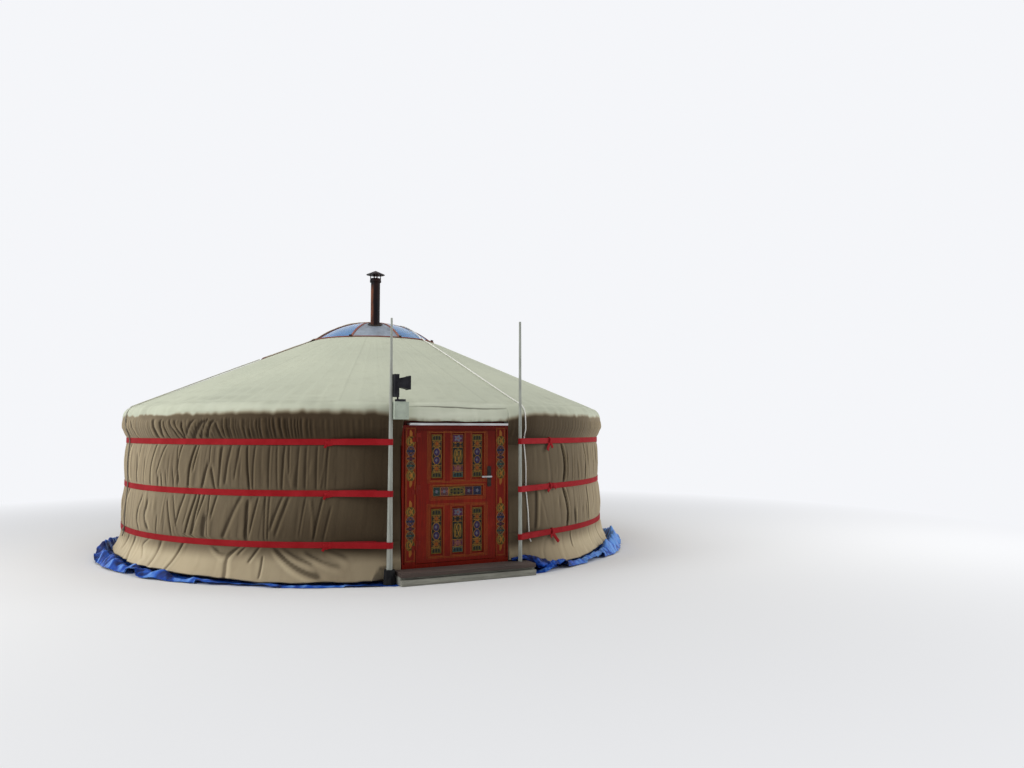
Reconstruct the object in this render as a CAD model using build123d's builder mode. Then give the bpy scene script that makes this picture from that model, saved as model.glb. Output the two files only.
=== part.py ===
from build123d import *
import os
from math import atan, atan2, cos, degrees, hypot, radians, sin, sqrt

os.makedirs("parts", exist_ok=True)

# A five-wall felt and canvas yurt, in millimetres. The origin is the middle of
# the round plan on the ground, +Z is up and the door looks along -Y.
# Azimuths are in degrees, 0 at the door and growing towards +X.

# Clearances
fit_gap = 0.3            # between neighbours with curved faces
swing_gap = 5            # round the moving door leaf

# Round plan
head_count = 48          # roof poles, and lattice heads plus those over the door
wall_count = 5
heads_per_wall = 9
sector_count = 6         # segments of the wall cover and of the roof cover
sector_angle = 360 / sector_count
head_angle = 360 / head_count
door_angle = 360 - wall_count * heads_per_wall * head_angle

# Ground layers
sheet_thickness = 3
sheet_margin = 105       # groundsheet beyond the skirt's hem
floor_top = 105

# Step in front of the door
step_left = -638
step_right = 800
step_reach = 300         # board beyond the lattice
step_overlap = 45        # board inside the lattice, in the floor's notch
step_top = 122
step_nosing = 8
step_board_thickness = 40
kerb_depth = 46
kerb_height = 58
kerb_setback = 36        # dark recess between the board's edge and the kerb's back

# Lattice
lattice_radius = 2950
slat_width = 30
slat_thickness = 10
slat_rows = 6            # half cells between the lowest and the highest crossing
head_length = 40         # slat ends beyond the outer crossings

# Roof
eave_reach = 116         # roof cover beyond the lattice
eave_height = 1723       # where the roof's slope would meet the eave's upright
eave_rounding = 120
eave_fall = 1520         # below this the cover draws in to the top belt
eave_hem = 1585          # its edge over the door
cover_thickness = 30
crown_radius = 800
crown_height = 2680
pole_width = 30
pole_depth = 40
pole_overhang = 40       # roof pole beyond the lattice

# Crown wheel and dome
dome_rise = 275
glass_thickness = 5
crown_turn = 7.5         # azimuth of the first rib
rib_count = 8
ring_outer = 780
ring_inner = 700
ring_bottom = 2600
hub_outer = 260
hub_inner = 180
spoke_width = 40
spoke_depth = 50
glass_outer = 795
glass_inner = 60
glass_joint_angle = 1
trim_width = 30
trim_thickness = 6
trim_hub_radius = 90
trim_rim_radius = 816
post_size = 80
post_chamfer = 12

# Chimney
chimney_azimuth = -15
chimney_distance = 420
chimney_radius = 60
chimney_wall = 3
chimney_bottom = 2450
chimney_top = 3500
flashing_radius = 92
flashing_height = 45
flashing_taper = 16
cap_radius = 122
cap_height = 52
cap_hollow = 26
cap_top = 3600
cap_sheet = 4
cap_collar_width = 14
cap_collar_height = 26
cap_leg = 8
cap_legs = 4

# Wall cover and belts
belt_heights = (375, 870, 1372)
belt_height = 60
belt_thickness = 5
belt_seat_margin = 6     # flat seat beyond the belt's edges
belt_seat_reaches = (110, 84, 76)  # canvas under the belts, beyond the lattice
bulge = 14               # canvas between two belts, beyond the seats
wall_top = 1600
felt_reach = 55          # felt's outer face beyond the lattice
felt_bottom = 20
skirt_thickness = 8
hem_reach = 235          # skirt's hem beyond the lattice
hem_height = 45
skirt_fullness = 28
knot_azimuth = 23.5      # where the belt doubles back from the pole
knot_radius = 9
knot_eye = 3

# Door
door_centre = 18
door_reach = 60          # frame's face beyond the lattice
frame_depth = 100
frame_top = 1537
head_board = 45
sill_height = 40
jamb_board = 115
jamb_groove = 14
jamb_edge = 14
groove_depth = 14
leaf_width = 860
leaf_thickness = 40
stop_overlap = 15
lintel_depth = 37
lintel_reach = 35        # where the lintel meets the roof poles, beyond the lattice
header_left = -490
header_right = 580
header_thickness = 22
header_reach = 40        # beyond the frame's face
panel_columns = (-215, 15, 235)   # centres, from the leaf's centre
panel_width = 128
upper_panels = (990, 1460)
middle_panel = (815, 922)
lower_panels = (235, 712)
middle_panel_width = 545
panel_recess = 12
panel_margin = 20
panel_field = 7
panel_taper = 45

# Hinges
hinge_heights = (300, 850, 1370)
hinge_length = 90
hinge_plate = 45
hinge_plate_thickness = 4
knuckle_radius = 8
knuckle_offset = 9
knuckle_gap = 1
pin_radius = 4
pin_clearance = 0.3

# Handle
handle_x = 360           # from the leaf's centre
handle_height = 1010
plate_width = 42
plate_height = 210
plate_thickness = 8
lever_reach = 48
lever_length = 115
lever_radius = 8
spindle_radius = 6
spindle_clearance = 0.5

# Poles beside the door, and what the left one carries
pole_x = 705
pole_reach = 130         # pole's middle beyond the lattice
left_pole_radii = (30, 10)
left_pole_top = 2590
left_foot_height = 143
left_foot_radius = 62
left_foot_sides = 8
left_foot_taper = 3
right_pole_radii = (21, 12)
right_pole_top = 2636
box_width = 150
box_depth = 80
box_height = 168
box_bottom = 1593
box_reach = 57           # box's front beyond the pole's middle
box_rounding = 6
lid_thickness = 6
lid_overhang = 4
lamp_x = -615
lamp_reach = 15          # lamp's middle beyond the pole's middle
lamp_base_radius = 54
lamp_base_thickness = 23
lamp_stem_radius = 9
lamp_stem_height = 130
driver_box = (50, 90, 223)
driver_rounding = 8
driver_bottom = 1812
driver_centre_x = -662
hood_start_x = -630
hood_length = 100
hood_back = 84
hood_mouth = 130
hood_centre_height = 1953
hood_wall = 4
hood_floor = 25          # where the hood's hollow starts

# Flap over the crown, and its ropes
flap_corner = 1500
flap_thickness = 8
flap_clearance = 1
flap_reach = 24          # from the crown's rim to where the cloth meets the roof
flap_bend = 24           # from there to where its upper face meets the slope
rope_radius = 6
rope_clearance = 0.4
rope_bow = 7             # where the rope stands off a bulge of the canvas
rope_spare = 4           # at its bends over the eave, where its runs are straight
rope_lap = 1.5
wall_rope_end = 300
front_rope_start = (300, 80)       # radius and azimuth on the dome
front_rope_rim = (795, 33.9)
dome_runs = 4            # straight runs of the front rope over the dome
roof_runs = 3            # and over the roof
rope_sides = 6
rope_turns = (0, 28, 56) # degrees round the eave
rope_landing = 80        # from the crown's rim to where the front rope meets the roof
front_rope_landing_azimuth = 31.9
front_rope_eave_azimuth = 15.5
front_rope_end_azimuth = 19
left_rope_eave_azimuth = -80

# Worked out from the sizes above
eave_radius = lattice_radius + eave_reach
belt_seats = [lattice_radius + reach for reach in belt_seat_reaches]
felt_outer = lattice_radius + felt_reach
hem_radius = lattice_radius + hem_reach
sheet_radius = hem_radius + sheet_margin
step_front = lattice_radius + step_reach
step_back = lattice_radius - step_overlap
door_face = lattice_radius + door_reach
header_front = door_face + header_reach
pole_y = lattice_radius + pole_reach
box_front = pole_y + box_reach
lamp_y = pole_y + lamp_reach
roof_slope = (crown_height - eave_height) / (eave_radius - crown_radius)
roof_angle = atan(roof_slope)
sphere_radius = (crown_radius**2 + dome_rise**2) / (2 * dome_rise)
sphere_centre = crown_height + dome_rise - sphere_radius
lattice_apothem = lattice_radius * cos(radians(head_angle / 2))
facet_width = 2 * lattice_radius * sin(radians(head_angle / 2))
wall_inner = lattice_radius + slat_thickness / cos(radians(head_angle / 2)) + fit_gap
floor_radius = wall_inner - fit_gap
felt_depth = cover_thickness + fit_gap
frame_width = leaf_width + 2 * (swing_gap + jamb_board + jamb_groove + jamb_edge)
leaf_bottom = step_top + sill_height + swing_gap
leaf_top = frame_top - head_board - swing_gap
hinge_x = door_centre - leaf_width / 2 - swing_gap / 2
hinge_y = -door_face - knuckle_offset
chimney_x = chimney_distance * sin(radians(chimney_azimuth))
chimney_y = -chimney_distance * cos(radians(chimney_azimuth))


def roof_height(radius, depth=0):
    """Height of the roof's outer face at a radius, less a depth square to the slope."""
    return crown_height - (radius - crown_radius) * roof_slope - depth / cos(roof_angle)


def dome_height(radius, depth=0):
    """Height of the dome's outer face at a radius, less a depth square to it."""
    return sphere_centre + sqrt((sphere_radius - depth) ** 2 - radius**2)


def radial_plane(azimuth):
    """Upright plane through the axis: local x points outwards at the azimuth, y up."""
    turn = radians(azimuth)
    return Plane(
        origin=(0, 0, 0),
        x_dir=(sin(turn), -cos(turn), 0),
        z_dir=(-cos(turn), -sin(turn), 0),
    )


def plan_point(radius, azimuth):
    """Plan position at a radius and an azimuth."""
    turn = radians(azimuth)
    return (radius * sin(turn), -radius * cos(turn))


def front_plane(distance, across=0):
    """Upright plane that looks along -Y at a distance from the axis."""
    return Plane(origin=(across, -distance, 0), x_dir=(1, 0, 0), z_dir=(0, -1, 0))


def finish(piece, label):
    """Names a piece and writes its file."""
    piece.part.label = label
    export_step(piece.part, f"parts/{label}.step")


# Groundsheet, cut short in front of the step
with BuildPart() as groundsheet:
    with BuildSketch():
        Circle(sheet_radius)
        with Locations((0, -sheet_radius - step_front + kerb_depth)):
            Rectangle(2 * sheet_radius, 2 * sheet_radius, mode=Mode.SUBTRACT)
    extrude(amount=sheet_thickness)
finish(groundsheet, "groundsheet")

# Round timber floor, notched for the step
step_width = step_right - step_left
step_centre = (step_left + step_right) / 2
with BuildPart() as floor:
    with BuildSketch(Plane.XY.offset(sheet_thickness)):
        Circle(floor_radius)
        with Locations((step_centre, -step_back - step_width / 2)):
            Rectangle(step_width + 2 * fit_gap, step_width + 2 * fit_gap, mode=Mode.SUBTRACT)
    extrude(amount=floor_top - sheet_thickness)
finish(floor, "floor")

# Step: a base with a kerb before it, and a board on top
board_bottom = step_top - step_board_thickness
with BuildPart() as step_base:
    with BuildSketch(Plane.YZ.offset(step_left)):
        with BuildLine():
            Polyline(
                (-step_back, sheet_thickness),
                (-step_back, board_bottom),
                (-step_front + kerb_setback, board_bottom),
                (-step_front + kerb_setback, kerb_height),
                (-step_front + kerb_setback - kerb_depth, kerb_height),
                (-step_front + kerb_setback - kerb_depth, sheet_thickness),
                close=True,
            )
        make_face()
    extrude(amount=step_width)
finish(step_base, "step_base")

with BuildPart() as step_board:
    with BuildSketch(Plane.XY.offset(board_bottom)):
        with Locations((step_centre, -(step_front + step_back) / 2)):
            Rectangle(step_width, step_front - step_back)
    extrude(amount=step_board_thickness)
    fillet(step_board.edges().group_by(Axis.Z)[-1].sort_by(Axis.Y)[0], radius=step_nosing)
finish(step_board, "step_board")

# Lattice walls: one facet of crossing slats between two heads, mitred to its neighbours
lattice_top = roof_height(wall_inner, felt_depth + pole_depth) - fit_gap
first_crossing = floor_top + head_length
last_crossing = lattice_top - head_length
half_cell = (last_crossing - first_crossing) / slat_rows
slat_angle = degrees(atan2(half_cell, facet_width / 2))
facet_height = lattice_top - floor_top
with BuildPart() as facet:
    with BuildSketch(front_plane(lattice_apothem)):
        for row in range(0, slat_rows + 1, 2):
            with Locations((0, first_crossing + row * half_cell)):
                Rectangle(4 * facet_width, slat_width, rotation=slat_angle)
                Rectangle(4 * facet_width, slat_width, rotation=-slat_angle)
        with Locations((0, floor_top + facet_height / 2)):
            Rectangle(facet_width + 2 * slat_thickness, facet_height, mode=Mode.INTERSECT)
    extrude(amount=slat_thickness, both=True)
    with BuildSketch():
        with BuildLine():
            Polyline(
                (0, 0),
                plan_point(2 * lattice_radius, -head_angle / 2),
                plan_point(2 * lattice_radius, head_angle / 2),
                close=True,
            )
        make_face()
    extrude(amount=lattice_top, mode=Mode.INTERSECT)

wall_angle = heads_per_wall * head_angle
for index in range(wall_count):
    first_head = door_angle / 2 + index * wall_angle + head_angle / 2
    with BuildPart() as lattice_wall:
        with PolarLocations(0, heads_per_wall, first_head, wall_angle - head_angle, endpoint=True):
            add(facet.part)
    finish(lattice_wall, f"lattice_wall_{index + 1}")

# Roof poles, from the lattice heads up to the crown wheel
pole_end = lattice_radius + pole_overhang
with BuildPart() as roof_pole:
    with BuildSketch(radial_plane(0)):
        with BuildLine():
            Polyline(
                (ring_outer + fit_gap, roof_height(ring_outer + fit_gap, felt_depth)),
                (pole_end, roof_height(pole_end, felt_depth)),
                (pole_end, roof_height(pole_end, felt_depth + pole_depth)),
                (ring_outer + fit_gap, roof_height(ring_outer + fit_gap, felt_depth + pole_depth)),
                close=True,
            )
        make_face()
    extrude(amount=pole_width / 2, both=True)

poles_per_sector = head_count // sector_count
pole_spread = (poles_per_sector - 1) * head_angle
for index in range(sector_count):
    first_pole = index * sector_angle + head_angle
    with BuildPart() as roof_poles:
        with PolarLocations(0, poles_per_sector, first_pole, pole_spread, endpoint=True):
            add(roof_pole.part)
    finish(roof_poles, f"roof_poles_{index + 1}")

# Roof cover: a felt and canvas cone that turns down over the eave and runs under the top belt
seat_half = belt_height / 2 + belt_seat_margin
low_seat, middle_seat, high_seat = belt_heights
low_radius, middle_radius, high_radius = belt_seats
skirt_inner = felt_outer + fit_gap
skirt_end = high_seat - seat_half + fit_gap
for index in range(sector_count):
    with BuildPart() as roof_cover:
        with BuildSketch(radial_plane(index * sector_angle)) as section:
            with BuildLine():
                Polyline(
                    (crown_radius, crown_height),
                    (eave_radius, eave_height),
                    (eave_radius, eave_fall),
                    (high_radius, high_seat + seat_half),
                    (high_radius, skirt_end),
                    (skirt_inner, skirt_end),
                    (skirt_inner, roof_height(skirt_inner, cover_thickness)),
                    (crown_radius, roof_height(crown_radius, cover_thickness)),
                    close=True,
                )
            make_face()
            outer_corner = section.vertices().group_by(Axis.X)[-1].sort_by(Axis.Y)[-1]
            fillet(outer_corner, radius=eave_rounding)
        revolve(axis=Axis.Z, revolution_arc=sector_angle)
        with BuildSketch(front_plane(lattice_radius / 2)):
            with Locations((door_centre, 0)):
                Rectangle(frame_width + 2 * fit_gap, 2 * eave_hem)
        extrude(amount=2 * lattice_radius, mode=Mode.SUBTRACT)
    finish(roof_cover, f"roof_cover_{index + 1}")

# Wall cover: felt inside, gathered canvas that bulges between the belts and flares to a skirt
skirt_middle = (hem_height + low_seat - seat_half) / 2
for index in range(sector_count):
    with BuildPart() as wall_cover:
        with BuildSketch(radial_plane(index * sector_angle)):
            with BuildLine():
                ThreePointArc(
                    (hem_radius, hem_height),
                    (low_radius + skirt_fullness, skirt_middle),
                    (low_radius, low_seat - seat_half),
                )
                Line((low_radius, low_seat - seat_half), (low_radius, low_seat + seat_half))
                ThreePointArc(
                    (low_radius, low_seat + seat_half),
                    ((low_radius + middle_radius) / 2 + bulge, (low_seat + middle_seat) / 2),
                    (middle_radius, middle_seat - seat_half),
                )
                Line((middle_radius, middle_seat - seat_half), (middle_radius, middle_seat + seat_half))
                ThreePointArc(
                    (middle_radius, middle_seat + seat_half),
                    ((middle_radius + high_radius) / 2 + bulge, (middle_seat + high_seat) / 2),
                    (high_radius, high_seat - seat_half),
                )
                Polyline(
                    (high_radius, high_seat - seat_half),
                    (felt_outer, high_seat - seat_half),
                    (felt_outer, wall_top),
                    (wall_inner, wall_top),
                    (wall_inner, felt_bottom),
                    (felt_outer, felt_bottom),
                    (felt_outer, low_seat - seat_half),
                    (low_radius - skirt_thickness, low_seat - seat_half),
                )
                ThreePointArc(
                    (low_radius - skirt_thickness, low_seat - seat_half),
                    (low_radius + skirt_fullness - skirt_thickness, skirt_middle),
                    (hem_radius - skirt_thickness, hem_height),
                )
                Line((hem_radius - skirt_thickness, hem_height), (hem_radius, hem_height))
            make_face()
        revolve(axis=Axis.Z, revolution_arc=sector_angle)
        with BuildSketch(front_plane(lattice_radius / 2)):
            with Locations((door_centre, wall_top / 2)):
                Rectangle(frame_width + 2 * fit_gap, 2 * wall_top)
            with Locations((step_centre, 0)):
                Rectangle(step_width + 2 * fit_gap, 2 * (step_top + fit_gap))
        extrude(amount=2 * lattice_radius, mode=Mode.SUBTRACT)
        with BuildSketch():
            with Locations((-pole_x, -pole_y)):
                Circle(left_foot_radius + fit_gap)
        extrude(amount=left_foot_height + fit_gap, mode=Mode.SUBTRACT)
    finish(wall_cover, f"wall_cover_{index + 1}")

# Crown ring: a heavy hoop under the dome's foot
glass_depth = glass_thickness + fit_gap
under_glass = sphere_radius - glass_depth
with BuildPart() as crown_ring:
    with BuildSketch(radial_plane(0)):
        with BuildLine():
            Polyline(
                (ring_inner, dome_height(ring_inner, glass_depth)),
                (ring_inner, ring_bottom),
                (ring_outer, ring_bottom),
                (ring_outer, dome_height(ring_outer, glass_depth)),
            )
            RadiusArc(
                (ring_outer, dome_height(ring_outer, glass_depth)),
                (ring_inner, dome_height(ring_inner, glass_depth)),
                -under_glass,
            )
        make_face()
    revolve(axis=Axis.Z, revolution_arc=360)
finish(crown_ring, "crown_ring")

# Crown spokes: arched under the dome, from a hub ring out to the crown ring
spoke_end = ring_inner - fit_gap
spoke_length = spoke_end - hub_inner
with BuildPart() as crown_spokes:
    with BuildSketch(radial_plane(0)):
        with BuildLine():
            Line((0, sphere_centre + under_glass), (0, sphere_centre + under_glass - spoke_depth))
            RadiusArc(
                (0, sphere_centre + under_glass - spoke_depth),
                (spoke_end, dome_height(spoke_end, glass_depth + spoke_depth)),
                under_glass - spoke_depth,
            )
            Line(
                (spoke_end, dome_height(spoke_end, glass_depth + spoke_depth)),
                (spoke_end, dome_height(spoke_end, glass_depth)),
            )
            RadiusArc(
                (spoke_end, dome_height(spoke_end, glass_depth)),
                (0, sphere_centre + under_glass),
                -under_glass,
            )
        make_face()
    revolve(axis=Axis.Z, revolution_arc=360)
    with BuildSketch(Plane.XY.offset(ring_bottom)):
        with PolarLocations((spoke_end + hub_inner) / 2, rib_count, crown_turn - 90):
            Rectangle(spoke_length, spoke_width)
        Circle(hub_outer)
        Circle(hub_inner, mode=Mode.SUBTRACT)
    extrude(amount=2 * dome_rise, mode=Mode.INTERSECT)
finish(crown_spokes, "crown_spokes")

# Two posts that hold the crown wheel's ring
ring_middle = (ring_outer + ring_inner) / 2
for side, label in ((-1, "crown_post_left"), (1, "crown_post_right")):
    with BuildPart() as crown_post:
        with BuildSketch(Plane.XY.offset(floor_top)) as post_plan:
            with Locations((side * ring_middle, 0)):
                Rectangle(post_size, post_size)
            chamfer(post_plan.vertices(), length=post_chamfer)
        extrude(amount=ring_bottom - floor_top)
    finish(crown_post, label)

# Dome panels: clear ones in seven bays, sheet metal in the chimney's bay
rib_angle = 360 / rib_count
with BuildSketch() as dome_section:
    with BuildLine():
        RadiusArc(
            (glass_inner, dome_height(glass_inner)),
            (glass_outer, dome_height(glass_outer)),
            sphere_radius,
        )
        Line(
            (glass_outer, dome_height(glass_outer)),
            (glass_outer, dome_height(glass_outer, glass_thickness)),
        )
        RadiusArc(
            (glass_outer, dome_height(glass_outer, glass_thickness)),
            (glass_inner, dome_height(glass_inner, glass_thickness)),
            -(sphere_radius - glass_thickness),
        )
        Line(
            (glass_inner, dome_height(glass_inner, glass_thickness)),
            (glass_inner, dome_height(glass_inner)),
        )
    make_face()

panel_angle = rib_angle - glass_joint_angle
with BuildPart() as crown_glass:
    for bay in range(rib_count - 1):
        with BuildSketch(radial_plane(crown_turn + bay * rib_angle + glass_joint_angle / 2)):
            add(dome_section.sketch)
        revolve(axis=Axis.Z, revolution_arc=panel_angle)
finish(crown_glass, "crown_glass")

with BuildPart() as pipe_panel:
    with BuildSketch(radial_plane(crown_turn - rib_angle + glass_joint_angle / 2)):
        add(dome_section.sketch)
    revolve(axis=Axis.Z, revolution_arc=panel_angle)
    with BuildSketch(Plane.XY.offset(ring_bottom)):
        with Locations((chimney_x, chimney_y)):
            Circle(chimney_radius + fit_gap)
    extrude(amount=2 * dome_rise, mode=Mode.SUBTRACT)
finish(pipe_panel, "pipe_panel")

# Trim over the joints between the panels, with a rim at the dome's foot
trim_inner = sphere_radius + fit_gap
trim_outer = trim_inner + trim_thickness
trim_end = glass_outer + fit_gap
rim_top = dome_height(trim_end, -fit_gap - trim_thickness)
with BuildPart() as crown_trim:
    with BuildSketch(radial_plane(0)):
        with BuildLine():
            Line((0, sphere_centre + trim_inner), (0, sphere_centre + trim_outer))
            RadiusArc(
                (0, sphere_centre + trim_outer),
                (trim_end, dome_height(trim_end, -fit_gap - trim_thickness)),
                trim_outer,
            )
            Line(
                (trim_end, dome_height(trim_end, -fit_gap - trim_thickness)),
                (trim_end, dome_height(trim_end, -fit_gap)),
            )
            RadiusArc(
                (trim_end, dome_height(trim_end, -fit_gap)),
                (0, sphere_centre + trim_inner),
                -trim_inner,
            )
        make_face()
    revolve(axis=Axis.Z, revolution_arc=360)
    with BuildSketch(Plane.XY.offset(ring_bottom)):
        with PolarLocations(trim_end / 2, rib_count, crown_turn - 90):
            Rectangle(trim_end, trim_width)
        Circle(trim_hub_radius)
    extrude(amount=2 * dome_rise, mode=Mode.INTERSECT)
    with BuildSketch(Plane.XY.offset(crown_height + fit_gap)):
        Circle(trim_rim_radius)
        Circle(trim_end, mode=Mode.SUBTRACT)
    extrude(amount=rim_top - crown_height - fit_gap)
finish(crown_trim, "crown_trim")

# Chimney pipe with its flashing, seated on the dome
with BuildPart() as chimney_pipe:
    with BuildSketch(Plane.XY.offset(dome_height(chimney_distance) - flashing_height)):
        with Locations((chimney_x, chimney_y)):
            Circle(flashing_radius)
    extrude(amount=2 * flashing_height, taper=flashing_taper)
    with Locations((0, 0, sphere_centre)):
        Sphere(sphere_radius + fit_gap, mode=Mode.SUBTRACT)
    with BuildSketch(Plane.XY.offset(chimney_bottom)):
        with Locations((chimney_x, chimney_y)):
            Circle(chimney_radius)
    extrude(amount=chimney_top - chimney_bottom)
    with BuildSketch(Plane.XY.offset(chimney_bottom)):
        with Locations((chimney_x, chimney_y)):
            Circle(chimney_radius - chimney_wall)
    extrude(amount=chimney_top - chimney_bottom, mode=Mode.SUBTRACT)
finish(chimney_pipe, "chimney_pipe")

# Chimney cap: a cone on four legs that rise from a collar
cap_rim = cap_top - cap_height
collar_bottom = chimney_top - 2 * cap_collar_height
with BuildPart() as chimney_cap:
    with BuildSketch(Plane.XY.offset(collar_bottom)):
        with Locations((chimney_x, chimney_y)):
            Circle(chimney_radius + cap_collar_width)
            Circle(chimney_radius + fit_gap, mode=Mode.SUBTRACT)
    extrude(amount=cap_collar_height)
    with BuildSketch(Plane.XY.offset(collar_bottom)):
        with Locations((chimney_x, chimney_y)):
            with PolarLocations(chimney_radius + cap_collar_width / 2 + fit_gap, cap_legs):
                Rectangle(cap_leg, 2 * cap_leg)
    extrude(amount=cap_rim + cap_sheet - collar_bottom)
    with Locations((chimney_x, chimney_y, cap_rim)):
        Cone(cap_radius, cap_leg, cap_height, align=(Align.CENTER, Align.CENTER, Align.MIN))
    with Locations((chimney_x, chimney_y, cap_rim - cap_sheet)):
        Cone(
            chimney_radius,
            cap_leg,
            cap_hollow,
            align=(Align.CENTER, Align.CENTER, Align.MIN),
            mode=Mode.SUBTRACT,
        )
finish(chimney_cap, "chimney_cap")

# Flap: a square cloth folded back to a triangle, over the rear of the dome and the roof
flap_dome = sphere_radius + fit_gap + trim_thickness + flap_clearance
flap_foot = trim_rim_radius + flap_reach
flap_rim = rim_top + flap_clearance
flap_landing = flap_foot + flap_bend
with BuildPart() as crown_flap:
    with BuildSketch(radial_plane(0)):
        with BuildLine():
            Line((0, sphere_centre + flap_dome), (0, sphere_centre + flap_dome + flap_thickness))
            RadiusArc(
                (0, sphere_centre + flap_dome + flap_thickness),
                (trim_end, sphere_centre + sqrt((flap_dome + flap_thickness) ** 2 - trim_end**2)),
                flap_dome + flap_thickness,
            )
            Polyline(
                (trim_end, sphere_centre + sqrt((flap_dome + flap_thickness) ** 2 - trim_end**2)),
                (trim_rim_radius + flap_clearance, flap_rim + flap_thickness),
                (flap_landing, roof_height(flap_landing, -flap_clearance - flap_thickness)),
                (flap_corner, roof_height(flap_corner, -flap_clearance - flap_thickness)),
                (flap_corner, roof_height(flap_corner, -fit_gap)),
                (flap_foot, roof_height(flap_foot, -fit_gap)),
                (trim_rim_radius + flap_clearance, flap_rim),
                (trim_end, sphere_centre + sqrt(flap_dome**2 - trim_end**2)),
            )
            RadiusArc(
                (trim_end, sphere_centre + sqrt(flap_dome**2 - trim_end**2)),
                (0, sphere_centre + flap_dome),
                -flap_dome,
            )
        make_face()
    revolve(axis=Axis.Z, revolution_arc=360)
    with BuildSketch(Plane.XY.offset(eave_height)):
        with BuildLine():
            Polyline((-flap_corner, 0), (flap_corner, 0), (0, flap_corner), close=True)
        make_face()
    extrude(amount=2 * crown_height, mode=Mode.INTERSECT)
finish(crown_flap, "crown_flap")


# Belts: webbing round the wall from one pole to the other, looped round each pole
def pole_radius(radii, foot, top, height):
    """Radius of a tapered pole at a height."""
    share = (height - foot) / (top - foot)
    return radii[0] + (radii[1] - radii[0]) * share


left_pole_foot = left_foot_height
right_pole_foot = step_top
belt_names = ("belt_bottom", "belt_middle", "belt_top")
for height, seat, label in zip(belt_heights, belt_seats, belt_names):
    belt_inner = seat + fit_gap
    loops = (
        (-1, pole_radius(left_pole_radii, left_pole_foot, left_pole_top, height)),
        (1, pole_radius(right_pole_radii, right_pole_foot, right_pole_top, height)),
    )
    knot_ring = belt_inner + knot_radius
    with BuildPart() as belt:
        with BuildSketch(Plane.XY.offset(height - belt_height / 2)):
            Circle(belt_inner + belt_thickness)
            Circle(belt_inner, mode=Mode.SUBTRACT)
            with BuildLine():
                Polyline(
                    (0, 0),
                    plan_point(2 * belt_inner, -knot_azimuth),
                    plan_point(2 * belt_inner, knot_azimuth),
                    close=True,
                )
            make_face(mode=Mode.SUBTRACT)
            for side, radius in loops:
                with BuildSketch(mode=Mode.PRIVATE) as loop:
                    with Locations((side * pole_x, -pole_y)):
                        Circle(radius + fit_gap + belt_thickness)
                    with Locations(plan_point(knot_ring, side * knot_azimuth)):
                        Circle(knot_radius)
                    make_hull()
                with BuildSketch(mode=Mode.PRIVATE) as hollow:
                    with Locations((side * pole_x, -pole_y)):
                        Circle(radius + fit_gap)
                    with Locations(plan_point(knot_ring, side * knot_azimuth)):
                        Circle(knot_eye)
                    make_hull()
                add(loop.sketch)
                add(hollow.sketch, mode=Mode.SUBTRACT)
        extrude(amount=belt_height)
    finish(belt, label)

# Door frame: jamb boards with an edge beyond a groove, a head, a sill and a lintel
frame_plane = front_plane(door_face, door_centre)
frame_middle = (step_top + frame_top) / 2
opening_bottom = step_top + sill_height
opening_top = frame_top - head_board
opening_height = opening_top - opening_bottom
opening_middle = (opening_top + opening_bottom) / 2
opening_width = leaf_width + 2 * swing_gap
stop_depth = leaf_thickness + swing_gap
lintel_top = roof_height(lattice_radius + lintel_reach, felt_depth + pole_depth) - fit_gap
with BuildPart() as door_frame:
    with BuildSketch(frame_plane):
        with Locations((0, frame_middle)):
            Rectangle(frame_width, frame_top - step_top)
        with Locations((0, opening_middle)):
            Rectangle(
                opening_width - 2 * stop_overlap,
                opening_height - 2 * stop_overlap,
                mode=Mode.SUBTRACT,
            )
    extrude(amount=-frame_depth)
    with BuildSketch(frame_plane):
        with Locations((0, opening_middle)):
            Rectangle(opening_width, opening_height)
    extrude(amount=-stop_depth, mode=Mode.SUBTRACT)
    with BuildSketch(frame_plane):
        groove_x = frame_width / 2 - jamb_edge - jamb_groove / 2
        with Locations((-groove_x, frame_middle), (groove_x, frame_middle)):
            Rectangle(jamb_groove, frame_top - step_top - 2 * sill_height)
    extrude(amount=-groove_depth, mode=Mode.SUBTRACT)
    with BuildSketch(front_plane(door_face - frame_depth, door_centre)):
        with Locations((0, (frame_top - head_board / 2 + lintel_top) / 2)):
            Rectangle(frame_width - 2 * jamb_edge, lintel_top - frame_top + head_board / 2)
    extrude(amount=lintel_depth)
finish(door_frame, "door_frame")

# White drip board over the door
with BuildPart() as door_header:
    with BuildSketch(Plane.XY.offset(frame_top)):
        header_back = door_face - frame_depth + lintel_depth
        with Locations(((header_left + header_right) / 2, -(header_front + header_back) / 2)):
            Rectangle(header_right - header_left, header_front - header_back)
    extrude(amount=header_thickness)
finish(door_header, "door_header")

# Door leaf: stiles and rails round seven panels with raised fields
leaf_middle = (leaf_bottom + leaf_top) / 2
upright_panels = [(x, span) for span in (upper_panels, lower_panels) for x in panel_columns]
panels = [(x, panel_width, span) for x, span in upright_panels]
panels.append((panel_columns[1], middle_panel_width, middle_panel))
with BuildPart() as door_leaf:
    with BuildSketch(frame_plane):
        with Locations((0, leaf_middle)):
            Rectangle(leaf_width, leaf_top - leaf_bottom)
    extrude(amount=-leaf_thickness)
    with BuildSketch(frame_plane):
        for across, width, (low, high) in panels:
            with Locations((across, (low + high) / 2)):
                Rectangle(width, high - low)
    extrude(amount=-panel_recess, mode=Mode.SUBTRACT)
    with BuildSketch(front_plane(door_face - panel_recess, door_centre)):
        for across, width, (low, high) in panels:
            with Locations((across, (low + high) / 2)):
                Rectangle(width - panel_margin, high - low - panel_margin)
    extrude(amount=panel_field, taper=panel_taper)
    with BuildSketch(frame_plane):
        with Locations((handle_x, handle_height)):
            Circle(spindle_radius + spindle_clearance)
    extrude(amount=-leaf_thickness, mode=Mode.SUBTRACT)
finish(door_leaf, "door_leaf")

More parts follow.
